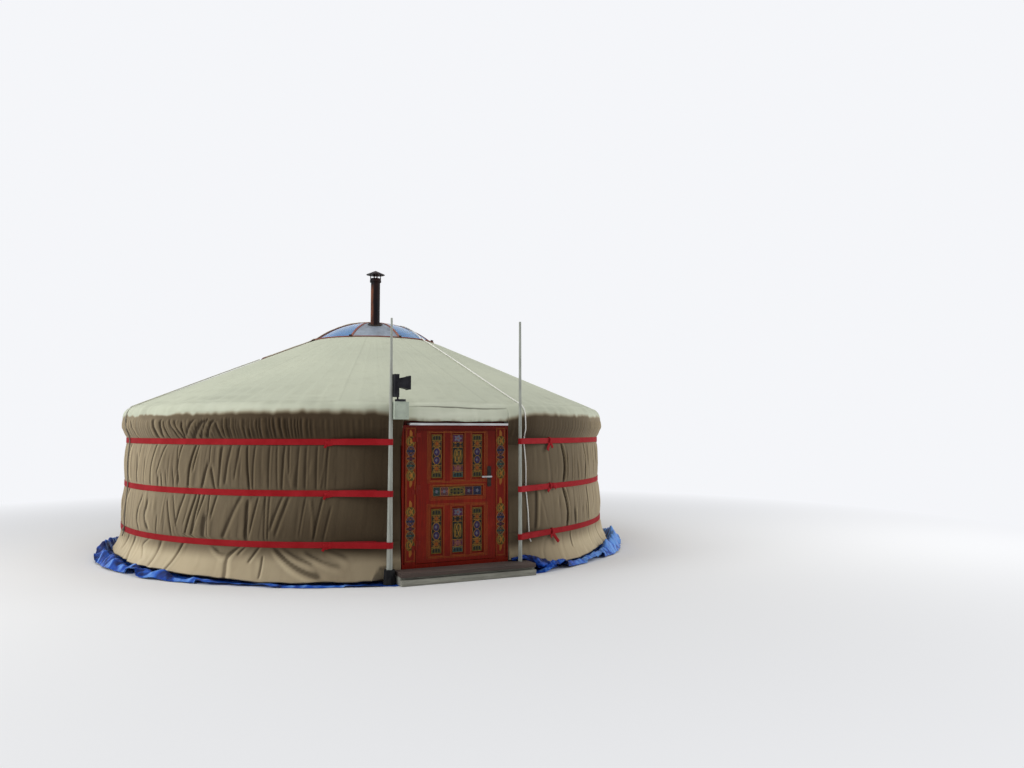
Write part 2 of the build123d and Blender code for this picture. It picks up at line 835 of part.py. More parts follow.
# Hinges: the frame's lower knuckles carry the pins, the leaf's upper ones turn on them
with BuildPart() as frame_hinges:
    for low in hinge_heights:
        with BuildSketch(Plane.XY.offset(low)):
            with Locations((hinge_x, hinge_y)):
                Circle(knuckle_radius)
            with Locations((hinge_x - hinge_plate / 2, -door_face - hinge_plate_thickness / 2)):
                Rectangle(hinge_plate, hinge_plate_thickness)
        extrude(amount=hinge_length / 2)
        with BuildSketch(Plane.XY.offset(low + hinge_length / 2)):
            with Locations((hinge_x, hinge_y)):
                Circle(pin_radius)
        extrude(amount=hinge_length / 2)
finish(frame_hinges, "frame_hinges")

with BuildPart() as leaf_hinges:
    for low in hinge_heights:
        with BuildSketch(Plane.XY.offset(low + hinge_length / 2 + knuckle_gap)):
            with Locations((hinge_x, hinge_y)):
                Circle(knuckle_radius)
            with Locations((hinge_x + hinge_plate / 2, -door_face - hinge_plate_thickness / 2)):
                Rectangle(hinge_plate, hinge_plate_thickness)
            with Locations((hinge_x, hinge_y)):
                Circle(pin_radius + pin_clearance, mode=Mode.SUBTRACT)
        extrude(amount=hinge_length / 2 - knuckle_gap)
finish(leaf_hinges, "leaf_hinges")

# Handle plates on both faces of the leaf
with BuildPart() as handle_plates:
    for distance in (door_face, door_face - leaf_thickness - plate_thickness):
        with BuildSketch(front_plane(distance, door_centre)) as plate_outline:
            with Locations((handle_x, handle_height)):
                RectangleRounded(plate_width, plate_height, plate_width / 4)
                Circle(spindle_radius + spindle_clearance, mode=Mode.SUBTRACT)
        extrude(amount=plate_thickness)
finish(handle_plates, "handle_plates")

# Lever: a spindle through the leaf with a handle at each end, pointing to the hinges
spindle_start = door_face - leaf_thickness - plate_thickness - lever_reach
spindle_end = door_face + plate_thickness + lever_reach
with BuildPart() as door_lever:
    with BuildSketch(front_plane(spindle_start, door_centre)):
        with Locations((handle_x, handle_height)):
            Circle(spindle_radius)
    extrude(amount=spindle_end - spindle_start)
    for distance in (spindle_start, spindle_end):
        with BuildSketch(front_plane(distance - lever_radius, door_centre)):
            with Locations((handle_x - lever_length / 2 + lever_radius, handle_height)):
                SlotOverall(lever_length, 2 * lever_radius)
        extrude(amount=2 * lever_radius)
finish(door_lever, "door_lever")

# Poles beside the door
with BuildPart() as pole_foot:
    with BuildSketch(Plane.XY.offset(sheet_thickness)):
        with Locations((-pole_x, -pole_y)):
            RegularPolygon(left_foot_radius, left_foot_sides)
    extrude(amount=left_foot_height - sheet_thickness, taper=left_foot_taper)
finish(pole_foot, "pole_foot")

pole_seat = (Align.CENTER, Align.CENTER, Align.MIN)
with BuildPart() as pole_left:
    with Locations((-pole_x, -pole_y, left_pole_foot)):
        Cone(*left_pole_radii, left_pole_top - left_pole_foot, align=pole_seat)
finish(pole_left, "pole_left")

with BuildPart() as pole_right:
    with Locations((pole_x, -pole_y, right_pole_foot)):
        Cone(*right_pole_radii, right_pole_top - right_pole_foot, align=pole_seat)
finish(pole_right, "pole_right")

# Junction box on the left pole
box_left = -pole_x + pole_radius(left_pole_radii, left_pole_foot, left_pole_top, box_bottom) + fit_gap
box_centre = box_left + box_width / 2
with BuildPart() as junction_box:
    with BuildSketch(Plane.XY.offset(box_bottom)):
        with Locations((box_centre, -box_front + box_depth / 2)):
            Rectangle(box_width, box_depth)
    extrude(amount=box_height)
    fillet(junction_box.edges().filter_by(Axis.Z), radius=box_rounding)
    with BuildSketch(Plane.XY.offset(box_bottom + box_height)):
        with Locations((box_centre + lid_overhang, -box_front + box_depth / 2)):
            RectangleRounded(
                box_width + 2 * lid_overhang, box_depth + 2 * lid_overhang, box_rounding
            )
    extrude(amount=lid_thickness)
finish(junction_box, "junction_box")

# Floodlight on the box: base, stem, driver box and a hood that opens to the side
lamp_foot = box_bottom + box_height + lid_thickness
with BuildPart() as floodlight:
    with BuildSketch(Plane.XY.offset(lamp_foot)):
        with Locations((lamp_x, -lamp_y)):
            Circle(lamp_base_radius)
    extrude(amount=lamp_base_thickness)
    with BuildSketch(Plane.XY.offset(lamp_foot)):
        with Locations((lamp_x - lamp_base_radius / 2, -lamp_y)):
            Circle(lamp_stem_radius)
    extrude(amount=lamp_stem_height)
    driver_width, driver_depth, driver_height = driver_box
    with BuildSketch(Plane.XY.offset(driver_bottom)):
        with Locations((driver_centre_x, -lamp_y)):
            RectangleRounded(driver_width, driver_depth, driver_rounding)
    extrude(amount=driver_height)
    hood_origin = (hood_start_x, -lamp_y, hood_centre_height)
    hood_plane = Plane(origin=hood_origin, x_dir=(0, 1, 0), z_dir=(1, 0, 0))
    with BuildSketch(hood_plane.offset(-2 * lamp_stem_radius)):
        Rectangle(hood_back, hood_back)
    with BuildSketch(hood_plane.offset(hood_length)):
        Rectangle(hood_mouth, hood_mouth)
    loft()
    with BuildSketch(hood_plane.offset(hood_floor)):
        Rectangle(hood_back - 2 * hood_wall, hood_back - 2 * hood_wall)
    with BuildSketch(hood_plane.offset(hood_length)):
        Rectangle(hood_mouth - 2 * hood_wall, hood_mouth - 2 * hood_wall)
    loft(mode=Mode.SUBTRACT)
finish(floodlight, "floodlight")

# Ropes that hold the flap: over the roof, round the eave and down the wall to the bottom belt
rope_offset = rope_radius + rope_clearance
turn_offset = rope_offset + rope_spare
eave_turn = eave_rounding + turn_offset
turn_centre_radius = eave_radius - eave_rounding
turn_centre_height = roof_height(turn_centre_radius, eave_rounding)


def wall_points(start_azimuth, end_azimuth):
    """Rope centres from the eave down the wall, drifting between two azimuths."""
    rows = []
    for turn in rope_turns:
        lean = roof_angle + radians(turn)
        reach = turn_centre_radius + eave_turn * sin(lean)
        rows.append((reach, turn_centre_height + eave_turn * cos(lean)))
    rows.append((eave_radius + rope_offset, eave_fall))
    over_belt = fit_gap + belt_thickness + rope_offset
    for upper in (2, 1):
        between = (belt_seats[upper] + belt_seats[upper - 1]) / 2
        rows.append((belt_seats[upper] + over_belt, belt_heights[upper]))
        rows.append(
            (between + bulge + rope_offset + rope_bow, (belt_heights[upper] + belt_heights[upper - 1]) / 2)
        )
    rows.append((low_radius + over_belt, low_seat))
    rows.append((low_radius + turn_offset + rope_offset, wall_rope_end))
    drift = (end_azimuth - start_azimuth) / (len(rows) - 1)
    return [(*plan_point(radius, start_azimuth + step * drift), z) for step, (radius, z) in enumerate(rows)]


def roof_points(start_radius, start_azimuth, end_radius, end_azimuth, steps, lift):
    """Rope centres straight across the roof's slope between two of its points."""
    squeeze = cos(roof_angle)
    start_turn = radians(start_azimuth) * squeeze
    end_turn = radians(end_azimuth) * squeeze
    first = (start_radius * cos(start_turn), start_radius * sin(start_turn))
    last = (end_radius * cos(end_turn), end_radius * sin(end_turn))
    points = []
    for step in range(steps):
        share = step / steps
        x = first[0] + (last[0] - first[0]) * share
        y = first[1] + (last[1] - first[1]) * share
        radius = hypot(x, y)
        azimuth = degrees(atan2(y, x) / squeeze)
        points.append((*plan_point(radius, azimuth), roof_height(radius, -lift)))
    return points


def rope(points, label):
    """A rope of six sides along its centres, each run lapping a little into the next."""
    with BuildPart() as piece:
        for start, end in zip(points, points[1:]):
            run = Vector(*end) - Vector(*start)
            with BuildSketch(Plane(origin=start, z_dir=run)):
                    RegularPolygon(rope_radius, rope_sides)
            extrude(amount=run.length + rope_lap)
    finish(piece, label)


rim_radius, rim_azimuth = front_rope_rim
over_trim = turn_offset + fit_gap + trim_thickness
dome_start = Vector(*plan_point(*front_rope_start))
dome_end = Vector(*plan_point(rim_radius, rim_azimuth))
dome_points = []
for step in range(dome_runs + 1):
    place = dome_start + (dome_end - dome_start) * (step / dome_runs)
    dome_points.append((place.X, place.Y, dome_height(place.length, -over_trim)))
over_rim = (*plan_point(trim_rim_radius + rope_offset / 2, rim_azimuth), rim_top + turn_offset)
dome_points.append(over_rim)
front_roof = roof_points(
    rim_radius + rope_landing,
    front_rope_landing_azimuth,
    turn_centre_radius,
    front_rope_eave_azimuth,
    roof_runs,
    turn_offset,
)
front_wall = wall_points(front_rope_eave_azimuth, front_rope_end_azimuth)
rope(dome_points + front_roof + front_wall, "front_rope")
corner_ropes = (("left_rope", -90, left_rope_eave_azimuth), ("right_rope", 90, 90), ("rear_rope", 180, 180))
for label, azimuth, eave_azimuth in corner_ropes:
    corner = roof_points(
        flap_corner + rope_offset,
        azimuth,
        turn_centre_radius,
        eave_azimuth,
        roof_runs,
        turn_offset,
    )
    rope(corner + wall_points(eave_azimuth, eave_azimuth), label)
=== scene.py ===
import math
import bpy
import numpy as np
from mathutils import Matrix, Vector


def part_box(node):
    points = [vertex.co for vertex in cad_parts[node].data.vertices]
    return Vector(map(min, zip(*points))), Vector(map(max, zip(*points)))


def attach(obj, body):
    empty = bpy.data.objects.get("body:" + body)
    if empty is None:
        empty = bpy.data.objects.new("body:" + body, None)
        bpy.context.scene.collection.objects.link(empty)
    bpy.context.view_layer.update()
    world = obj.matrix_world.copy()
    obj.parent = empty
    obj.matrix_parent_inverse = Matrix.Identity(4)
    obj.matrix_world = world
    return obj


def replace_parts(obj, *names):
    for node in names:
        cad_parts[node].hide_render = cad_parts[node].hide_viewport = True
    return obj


# A round felt and canvas yurt. Metres, +Z up, the door looks along -Y.
# Azimuths are 0 at the door and grow towards +X.

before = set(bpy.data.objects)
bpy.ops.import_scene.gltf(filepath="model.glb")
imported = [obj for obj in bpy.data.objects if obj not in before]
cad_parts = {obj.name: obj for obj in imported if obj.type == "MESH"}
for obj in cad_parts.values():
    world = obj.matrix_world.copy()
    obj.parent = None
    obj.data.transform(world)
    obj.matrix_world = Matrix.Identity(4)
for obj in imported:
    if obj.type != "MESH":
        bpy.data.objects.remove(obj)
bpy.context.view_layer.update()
print("frame loaded")

camera = {
    "place": (-3.003, -10.547, 1.48),
    "bearing": 25.82,       # degrees from +Y towards +X
    "pitch": 3.4,
    "focalPixels": 790.0,
    "pictureWidth": 1024,   # pixels
    "sensor": 36.0,
}
lens = bpy.data.cameras.new("view")
lens.sensor_width = camera["sensor"]
lens.lens = camera["focalPixels"] / camera["pictureWidth"] * camera["sensor"]
eye = bpy.data.objects.new("view", lens)
eye.location = camera["place"]
eye.rotation_euler = (math.radians(90 + camera["pitch"]), 0, -math.radians(camera["bearing"]))
bpy.context.scene.collection.objects.link(eye)
bpy.context.scene.camera = eye
bpy.context.scene.view_settings.view_transform = "Standard"


def gridFaces(rows, columns, wrap, loop, flip, first):
    # quads between neighbouring points of a grid stored row by row; it may close along columns and rows
    steps = np.arange(rows if loop else rows - 1), np.arange(columns if wrap else columns - 1)
    row, column = np.meshgrid(*steps, indexing="ij")
    ahead = (column + 1) % columns
    row, below = row * columns, (row + 1) % rows * columns
    faces = np.stack([row + column, row + ahead, below + ahead, below + column], -1).reshape(-1, 4) + first
    return faces[:, ::-1] if flip else faces


def buildPiece(name, parts, finish, body="yurt", smooth=True, sharp=None, attributes=None):
    # each part is a grid of points (rows, columns, 3) that may wrap its columns, loop its rows, cap its end
    # rows, turn its faces and carry uv in metres
    vertices, faces, uvs, first = [], [], [], 0
    for part in parts:
        points = np.asarray(part["points"], float)
        rows, columns = points.shape[:2]
        wrap, loop, flip = [part.get(key, False) for key in ("wrap", "loop", "flip")]
        vertices.append(points.reshape(-1, 3))
        faces += gridFaces(rows, columns, wrap, loop, flip, first).tolist()
        low = [first + i for i in range(columns)]
        high = [first + (rows - 1) * columns + i for i in range(columns)]
        if part.get("caps") or part.get("capLow"):
            faces.append(low if flip else low[::-1])
        if part.get("caps") or part.get("capHigh"):
            faces.append(high[::-1] if flip else high)
        uvs.append(np.asarray(part.get("uv", np.zeros((rows, columns, 2))), float).reshape(-1, 2))
        first += rows * columns
    mesh = bpy.data.meshes.new(name)
    mesh.from_pydata(np.concatenate(vertices).tolist(), [], faces)
    corner = np.zeros(len(mesh.loops), np.int32)
    mesh.loops.foreach_get("vertex_index", corner)
    layer = mesh.uv_layers.new(name="metres")
    layer.data.foreach_set("uv", np.concatenate(uvs)[corner].astype(np.float32).ravel())
    for key, values in (attributes or {}).items():
        made = mesh.attributes.new(key, "FLOAT", "POINT")
        made.data.foreach_set("value", np.asarray(values, np.float32).ravel())
    mesh.polygons.foreach_set("use_smooth", np.full(len(mesh.polygons), smooth))
    if sharp is not None:
        mesh.set_sharp_from_angle(angle=math.radians(sharp))
    mesh.update()
    piece = bpy.data.objects.new(name, mesh)
    bpy.context.scene.collection.objects.link(piece)
    mesh.materials.append(finish)
    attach(piece, body)
    return piece


def onPlan(radius, azimuth, height):
    # point at radius r and azimuth a: (r sin a, -r cos a, z)
    radius, azimuth, height = np.broadcast_arrays(radius, azimuth, height)
    return np.stack([radius * np.sin(azimuth), -radius * np.cos(azimuth), height], -1)


def latticeNoise(across, along, seed):
    # smooth random field: random values on a square lattice, joined by 3t^2 - 2t^3
    size = 128
    table = np.random.default_rng(seed).uniform(-1, 1, (size, size))
    across, along = np.broadcast_arrays(across, along)
    i, j = np.floor(across).astype(int), np.floor(along).astype(int)
    u, v = across - i, along - j
    u, v = u * u * (3 - 2 * u), v * v * (3 - 2 * v)
    i, j, i2, j2 = i % size, j % size, (i + 1) % size, (j + 1) % size
    low = table[i, j] * (1 - u) + table[i2, j] * u
    high = table[i, j2] * (1 - u) + table[i2, j2] * u
    return low * (1 - v) + high * v


def smoothStep(value, low, high):
    # 0 below low, 1 above high, 3t^2 - 2t^3 between
    t = np.clip((value - low) / (high - low), 0, 1)
    return t * t * (3 - 2 * t)


def bell(value, centre, width, power=2):
    # exp(-((value - centre) / width)^power)
    return np.exp(-(((value - centre) / width) ** power))


def alongPath(points, count):
    # evenly spaced points of a Catmull-Rom curve through the given ones, and its length
    points = np.asarray(points, float)
    before = np.vstack([2 * points[0] - points[1], points, 2 * points[-1] - points[-2]])
    t = np.linspace(0, 1, 17)[:-1, None]
    runs = []
    for a, b, c, d in zip(before, before[1:], before[2:], before[3:]):
        run = 2 * b + (c - a) * t + (2 * a - 5 * b + 4 * c - d) * t**2 + (3 * b - a - 3 * c + d) * t**3
        runs.append(0.5 * run)
    points = np.vstack(runs + [points[-1:]])
    reach = np.concatenate([[0], np.cumsum(np.linalg.norm(np.diff(points, axis=0), axis=1))])
    wanted = np.linspace(0, reach[-1], count)
    return np.stack([np.interp(wanted, reach, points[:, k]) for k in range(3)], -1), reach[-1]


def frameAlong(path, upright):
    # unit side and normal at each point of a path; the side is square to a hint direction
    tangent = np.gradient(path, axis=0)
    tangent /= np.linalg.norm(tangent, axis=1)[:, None]
    hint = np.broadcast_to(np.asarray(upright, float), tangent.shape)
    side = np.cross(tangent, hint)
    side /= np.linalg.norm(side, axis=1)[:, None]
    return side, np.cross(side, tangent)


def sweepProfile(path, outline, upright):
    # a closed outline (n, 2), or one for each point (m, n, 2), carried along: point + u side + v normal
    side, normal = frameAlong(path, upright)
    return path[:, None] + side[:, None] * outline[..., :1] + normal[:, None] * outline[..., 1:]


def ringOutline(angle, reach):
    # round outline whose radius may change with the angle and along the path: (r cos a, r sin a)
    return np.stack(np.broadcast_arrays(reach * np.cos(angle), reach * np.sin(angle)), -1)


def startFinish(name, **sockets):
    # material with these sockets of its shader set; an underscore stands for a space
    finish = bpy.data.materials.new(name)
    finish.use_nodes = True
    tree = finish.node_tree
    shader = tree.nodes["Principled BSDF"]
    for key, value in sockets.items():
        shader.inputs[key.replace("_", " ")].default_value = value
    return finish, tree, shader


def openFinish(finish):
    # nodes, shader and colour of a finish that is to be changed
    shader = finish.node_tree.nodes["Principled BSDF"]
    return finish.node_tree, shader, shader.inputs["Base Color"].links[0].from_socket


def linkShader(tree, shader, **sockets):
    # link values to the shader's sockets; an underscore stands for a space
    for key, value in sockets.items():
        tree.links.new(value, shader.inputs[key.replace("_", " ")])


def addNode(tree, kind, inputs=None, **settings):
    # node with its settings made, then each input linked to a socket or set to a value
    made = tree.nodes.new("ShaderNode" + kind)
    for key, value in settings.items():
        setattr(made, key, value)
    for key, value in (inputs or {}).items():
        if isinstance(value, bpy.types.NodeSocket):
            tree.links.new(value, made.inputs[key])
        else:
            made.inputs[key].default_value = value
    return made


def mathNode(tree, operation, first, second=0.0):
    # one Math node with two inputs
    return addNode(tree, "Math", {0: first, 1: second}, operation=operation).outputs[0]


def above(tree, value):
    # value where it is positive, else 0
    return mathNode(tree, "MAXIMUM", value, 0.0)


def mixColour(tree, share, first, second, blend="MIX"):
    # first (1 - share) + second share; sockets 6 and 7 of the node take colours
    inputs = {0: share}
    for socket, tone in ((6, first), (7, second)):
        inputs[socket] = (*tone, 1) if isinstance(tone, tuple) else tone
    return addNode(tree, "Mix", inputs, data_type="RGBA", blend_type=blend).outputs[2]


def dimmed(colour, share):
    # the colour times a share
    return tuple(share * c for c in colour)


def objectPlace(tree, stretch=(1, 1, 1)):
    # place on the object in metres, squeezed or stretched for a pattern with a direction
    place = addNode(tree, "TexCoord").outputs["Object"]
    return addNode(tree, "Mapping", {"Vector": place, "Scale": stretch}).outputs["Vector"]


def placeAlong(tree, axis):
    # distance from the origin along x, y or z (0, 1 or 2)
    return addNode(tree, "SeparateXYZ", {0: addNode(tree, "TexCoord").outputs["Object"]}).outputs[axis]


def attributeValue(tree, name):
    # a number that the piece carries at its points
    return addNode(tree, "Attribute", attribute_name=name).outputs["Fac"]


def noiseValue(tree, place, scale, detail=3.0, roughness=0.55, distortion=0.0):
    # smooth noise at a place, about 0 to 1
    inputs = {"Vector": place, "Scale": scale, "Detail": detail, "Roughness": roughness,
              "Distortion": distortion}
    return addNode(tree, "TexNoise", inputs).outputs["Fac"]


def spread(tree, value, low, high, start=0.0, end=1.0):
    # start below low, end above high, straight between
    inputs = {"Value": value, "From Min": low, "From Max": high, "To Min": start, "To Max": end}
    return addNode(tree, "MapRange", inputs).outputs["Result"]


def bump(tree, height, distance, strength, below=None):
    # normal tilted by the slope of a height, on top of another bump
    inputs = {"Height": height, "Distance": distance, "Strength": strength}
    if below is not None:
        inputs["Normal"] = below
    return addNode(tree, "Bump", inputs).outputs["Normal"]


def clothFinish(name, colour, shade, dirt, weave=900.0, creaseShade=0.35, crest=0.0, wrinkle=0.004, side=None):
    # canvas: slow change of tone, streaks that run down, painted shade from the shade attribute, painted
    # shade in folds, painted highlights on ridges, wrinkles, a plain weave
    finish, tree, shader = startFinish(name, Roughness=0.9, Sheen_Weight=0.04, Specular_IOR_Level=0.12)
    shadeTone = (0.052, 0.035, 0.019)
    slow = noiseValue(tree, objectPlace(tree), 0.9, 4.0)
    tone = mixColour(tree, spread(tree, slow, 0.35, 0.65), colour, shade)
    # painted shade: where the side attribute is 1 the cloth takes the darker side colour
    if side:
        tone = mixColour(tree, attributeValue(tree, "side"), tone, side)
    streaks = noiseValue(tree, objectPlace(tree, (5, 5, 0.6)), 1.6, 5.0, 0.65)
    tone = mixColour(tree, spread(tree, streaks, 0.52, 0.8, 0, 0.35), tone, dirt)
    # painted shade: the shade attribute darkens the cloth to a deep brown
    tone = mixColour(tree, attributeValue(tree, "shade"), tone, shadeTone)
    # painted shade in the creases and painted highlights on the ridges, from the crease attribute
    crease = attributeValue(tree, "crease")
    dark = mathNode(tree, "MULTIPLY", above(tree, crease), creaseShade)
    tone = mixColour(tree, dark, tone, dimmed(shadeTone, 0.5))
    light = mathNode(tree, "MULTIPLY", above(tree, mathNode(tree, "MULTIPLY", crease, -1.0)), crest)
    tone = mixColour(tree, light, tone, (1.0, 1.0, 0.96), "SOFT_LIGHT")
    uv = addNode(tree, "UVMap", uv_map="metres").outputs["UV"]
    threads = []
    for direction in ("X", "Y"):
        wave = addNode(tree, "TexWave", {"Vector": uv, "Scale": weave / 6.3}, bands_direction=direction)
        threads.append(wave.outputs["Fac"])
    small = noiseValue(tree, objectPlace(tree, (1, 1, 0.6)), 22.0, 5.0, 0.6, 0.4)
    wrinkles = bump(tree, small, wrinkle, 0.5)
    linkShader(tree, shader, Base_Color=tone,
               Normal=bump(tree, mathNode(tree, "ADD", *threads), 0.0004, 0.35, wrinkles))
    return finish


def paintFinish(name, colour, worn, grainDirection=(30, 30, 2.0), roughness=0.42, wear=0.25, coat=0.0,
                gloss=0.2, eaveShadow=0.0):
    # oil paint on timber: brush grain along the board, patches where it has faded, painted shadow that
    # darkens it towards the eave
    finish, tree, shader = startFinish(name, Roughness=roughness, Coat_Weight=coat, Coat_Roughness=0.2,
                                       Specular_IOR_Level=gloss)
    grain = noiseValue(tree, objectPlace(tree, grainDirection), 3.0, 6.0, 0.65)
    patches = noiseValue(tree, objectPlace(tree), 3.2, 5.0, 0.6, 0.3)
    tone = mixColour(tree, spread(tree, grain, 0.3, 0.7), dimmed(colour, 0.55), colour)
    tone = mixColour(tree, spread(tree, patches, 0.5, 0.75, 0, wear), tone, worn)
    if eaveShadow:
        # painted shadow: darker from 0.9 m to 1.5 m up
        shadowed = spread(tree, placeAlong(tree, 2), 0.9, 1.5, 0.0, eaveShadow)
        tone = mixColour(tree, shadowed, tone, dimmed(colour, 0.25))
    linkShader(tree, shader, Base_Color=tone, Normal=bump(tree, grain, 0.0012, 0.6),
               Roughness=spread(tree, grain, 0.2, 0.8, roughness + 0.15, roughness - 0.08))
    return finish


def timberFinish(name, light, dark, grainDirection, boards=None):
    # bare timber: long grain, cracks, and dark lines between boards of the given width along x or y
    finish, tree, shader = startFinish(name, Roughness=0.75)
    grain = noiseValue(tree, objectPlace(tree, grainDirection), 4.0, 8.0, 0.7, 0.6)
    stain = noiseValue(tree, objectPlace(tree), 2.3, 4.0)
    tone = mixColour(tree, spread(tree, grain, 0.32, 0.68), dark, light)
    tone = mixColour(tree, spread(tree, stain, 0.45, 0.75, 0, 0.4), tone, dimmed(dark, 0.6))
    height = grain
    if boards:
        axis, width = boards
        phase = mathNode(tree, "PINGPONG", placeAlong(tree, axis), width / 2)
        joint = spread(tree, phase, 0.0, 0.004, 1.0, 0.0)
        tone = mixColour(tree, joint, tone, dimmed(dark, 0.15))
        height = mathNode(tree, "SUBTRACT", grain, mathNode(tree, "MULTIPLY", joint, 3.0))
    linkShader(tree, shader, Base_Color=tone, Normal=bump(tree, height, 0.002, 0.7))
    return finish


def metalFinish(name, colour, tint, metallic=0.0, roughness=0.4, noiseScale=8.0, streak=(1, 1, 1), gloss=0.5):
    # enamel, paint or bare metal: cloudy tone, grease marks in the roughness, a faint orange-peel
    finish, tree, shader = startFinish(name, Metallic=metallic, Roughness=roughness, Specular_IOR_Level=gloss)
    cloud = noiseValue(tree, objectPlace(tree, streak), noiseScale, 5.0, 0.6)
    peel = noiseValue(tree, objectPlace(tree), 180.0, 2.0)
    linkShader(tree, shader, Base_Color=mixColour(tree, spread(tree, cloud, 0.4, 0.7), colour, tint),
               Roughness=spread(tree, cloud, 0.3, 0.7, roughness - 0.1, roughness + 0.15),
               Normal=bump(tree, peel, 0.0004, 0.3))
    return finish


def webbingFinish(name, colour, faded, ribs):
    # woven strap: ribs across its height, sun-faded patches
    finish, tree, shader = startFinish(name, Roughness=0.85, Sheen_Weight=0.03, Specular_IOR_Level=0.15)
    rows = mathNode(tree, "SINE", mathNode(tree, "MULTIPLY", placeAlong(tree, 2), ribs))
    cloud = noiseValue(tree, objectPlace(tree), 5.0, 5.0, 0.6)
    tone = mixColour(tree, spread(tree, cloud, 0.4, 0.7), colour, faded)
    tone = mixColour(tree, spread(tree, rows, -1, 1, 0.35, 0.0), tone, dimmed(colour, 0.4))
    fine = noiseValue(tree, objectPlace(tree, (1, 1, 0.3)), 420.0, 2.0)
    relief = mathNode(tree, "ADD", rows, fine)
    linkShader(tree, shader, Base_Color=tone, Normal=bump(tree, relief, 0.0009, 0.8))
    return finish


def glazingFinish():
    # clear plastic: a pale blue tint that is a painted reflection of the sky, almost smooth, with cloudy
    # scuffs
    finish, tree, shader = startFinish("crown_glazing", Roughness=0.12, Transmission_Weight=0.55, IOR=1.45,
                                       Specular_IOR_Level=0.2)
    cloud = noiseValue(tree, objectPlace(tree), 4.0, 5.0, 0.6)
    ripple = noiseValue(tree, objectPlace(tree), 6.0, 2.0)
    tone = mixColour(tree, spread(tree, cloud, 0.4, 0.7), (0.10, 0.32, 0.66), (0.20, 0.44, 0.74))
    linkShader(tree, shader, Base_Color=tone, Roughness=spread(tree, cloud, 0.35, 0.75, 0.04, 0.22),
               Normal=bump(tree, ripple, 0.004, 0.25))
    return finish


def tarpFinish():
    # woven plastic sheet: strong blue, painted highlights along its crests and painted shade in its valleys,
    # half glossy
    finish, tree, shader = startFinish("blue_sheet", Roughness=0.40, Specular_IOR_Level=0.14)
    cloud = noiseValue(tree, objectPlace(tree), 9.0, 6.0, 0.65, 0.8)
    crease = attributeValue(tree, "crease")
    tone = mixColour(tree, spread(tree, cloud, 0.35, 0.7), (0.006, 0.045, 0.33), (0.020, 0.130, 0.60))
    # painted highlights where the crease attribute is above 0, painted shade below 0
    crest, valley = above(tree, crease), above(tree, mathNode(tree, "MULTIPLY", crease, -1.0))
    tone = mixColour(tree, mathNode(tree, "MULTIPLY", crest, 0.7), tone, (0.20, 0.44, 0.88))
    tone = mixColour(tree, mathNode(tree, "MULTIPLY", valley, 0.95), tone, (0.001, 0.004, 0.045))
    crumple = bump(tree, noiseValue(tree, objectPlace(tree), 30.0, 6.0, 0.7, 1.2), 0.01, 0.7)
    uv = addNode(tree, "UVMap", uv_map="metres").outputs["UV"]
    weave = addNode(tree, "TexChecker", {"Vector": uv, "Scale": 350.0}).outputs["Fac"]
    linkShader(tree, shader, Base_Color=tone, Normal=bump(tree, weave, 0.0004, 0.3, crumple))
    return finish


def cornerRopeFinish():
    # the same rope, pale on the roof and darkened on the wall by painted shade
    finish = clothFinish("rope_grey", (0.60, 0.59, 0.52), (0.50, 0.49, 0.42), (0.35, 0.33, 0.27),
                         wrinkle=0.001)
    tree, shader, tone = openFinish(finish)
    # painted shade: darker below the eave
    paintedShade = spread(tree, placeAlong(tree, 2), 1.72, 1.60, 0.0, 0.8)
    linkShader(tree, shader, Base_Color=mixColour(tree, paintedShade, tone, (0.09, 0.07, 0.05)))
    return finish


def paintedReflectionSide(finish, node, away, glint):
    # painted reflection: one side of a pipe is tinted orange-brown below its cap, by the distance from its
    # axis along a level direction
    tree, shader, tone = openFinish(finish)
    low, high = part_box(node)
    middle = [(a + b) / 2 for a, b in zip(low, high)]
    direction = (math.sin(math.radians(away)), -math.cos(math.radians(away)), 0)
    place = addNode(tree, "VectorMath", {0: objectPlace(tree), 1: middle}, operation="SUBTRACT").outputs[0]
    side = addNode(tree, "VectorMath", {0: place, 1: direction}, operation="DOT_PRODUCT").outputs["Value"]
    streaks = noiseValue(tree, objectPlace(tree, (9, 9, 1.2)), 3.0, 5.0)
    share = mathNode(tree, "MULTIPLY", spread(tree, side, 0.040, 0.062), spread(tree, streaks, 0.35, 0.6))
    belowCap = spread(tree, placeAlong(tree, 2), high[2] - 0.16, high[2] - 0.08, 1.0, 0.0)
    share = mathNode(tree, "MULTIPLY", share, belowCap)
    linkShader(tree, shader, Base_Color=mixColour(tree, share, tone, glint))


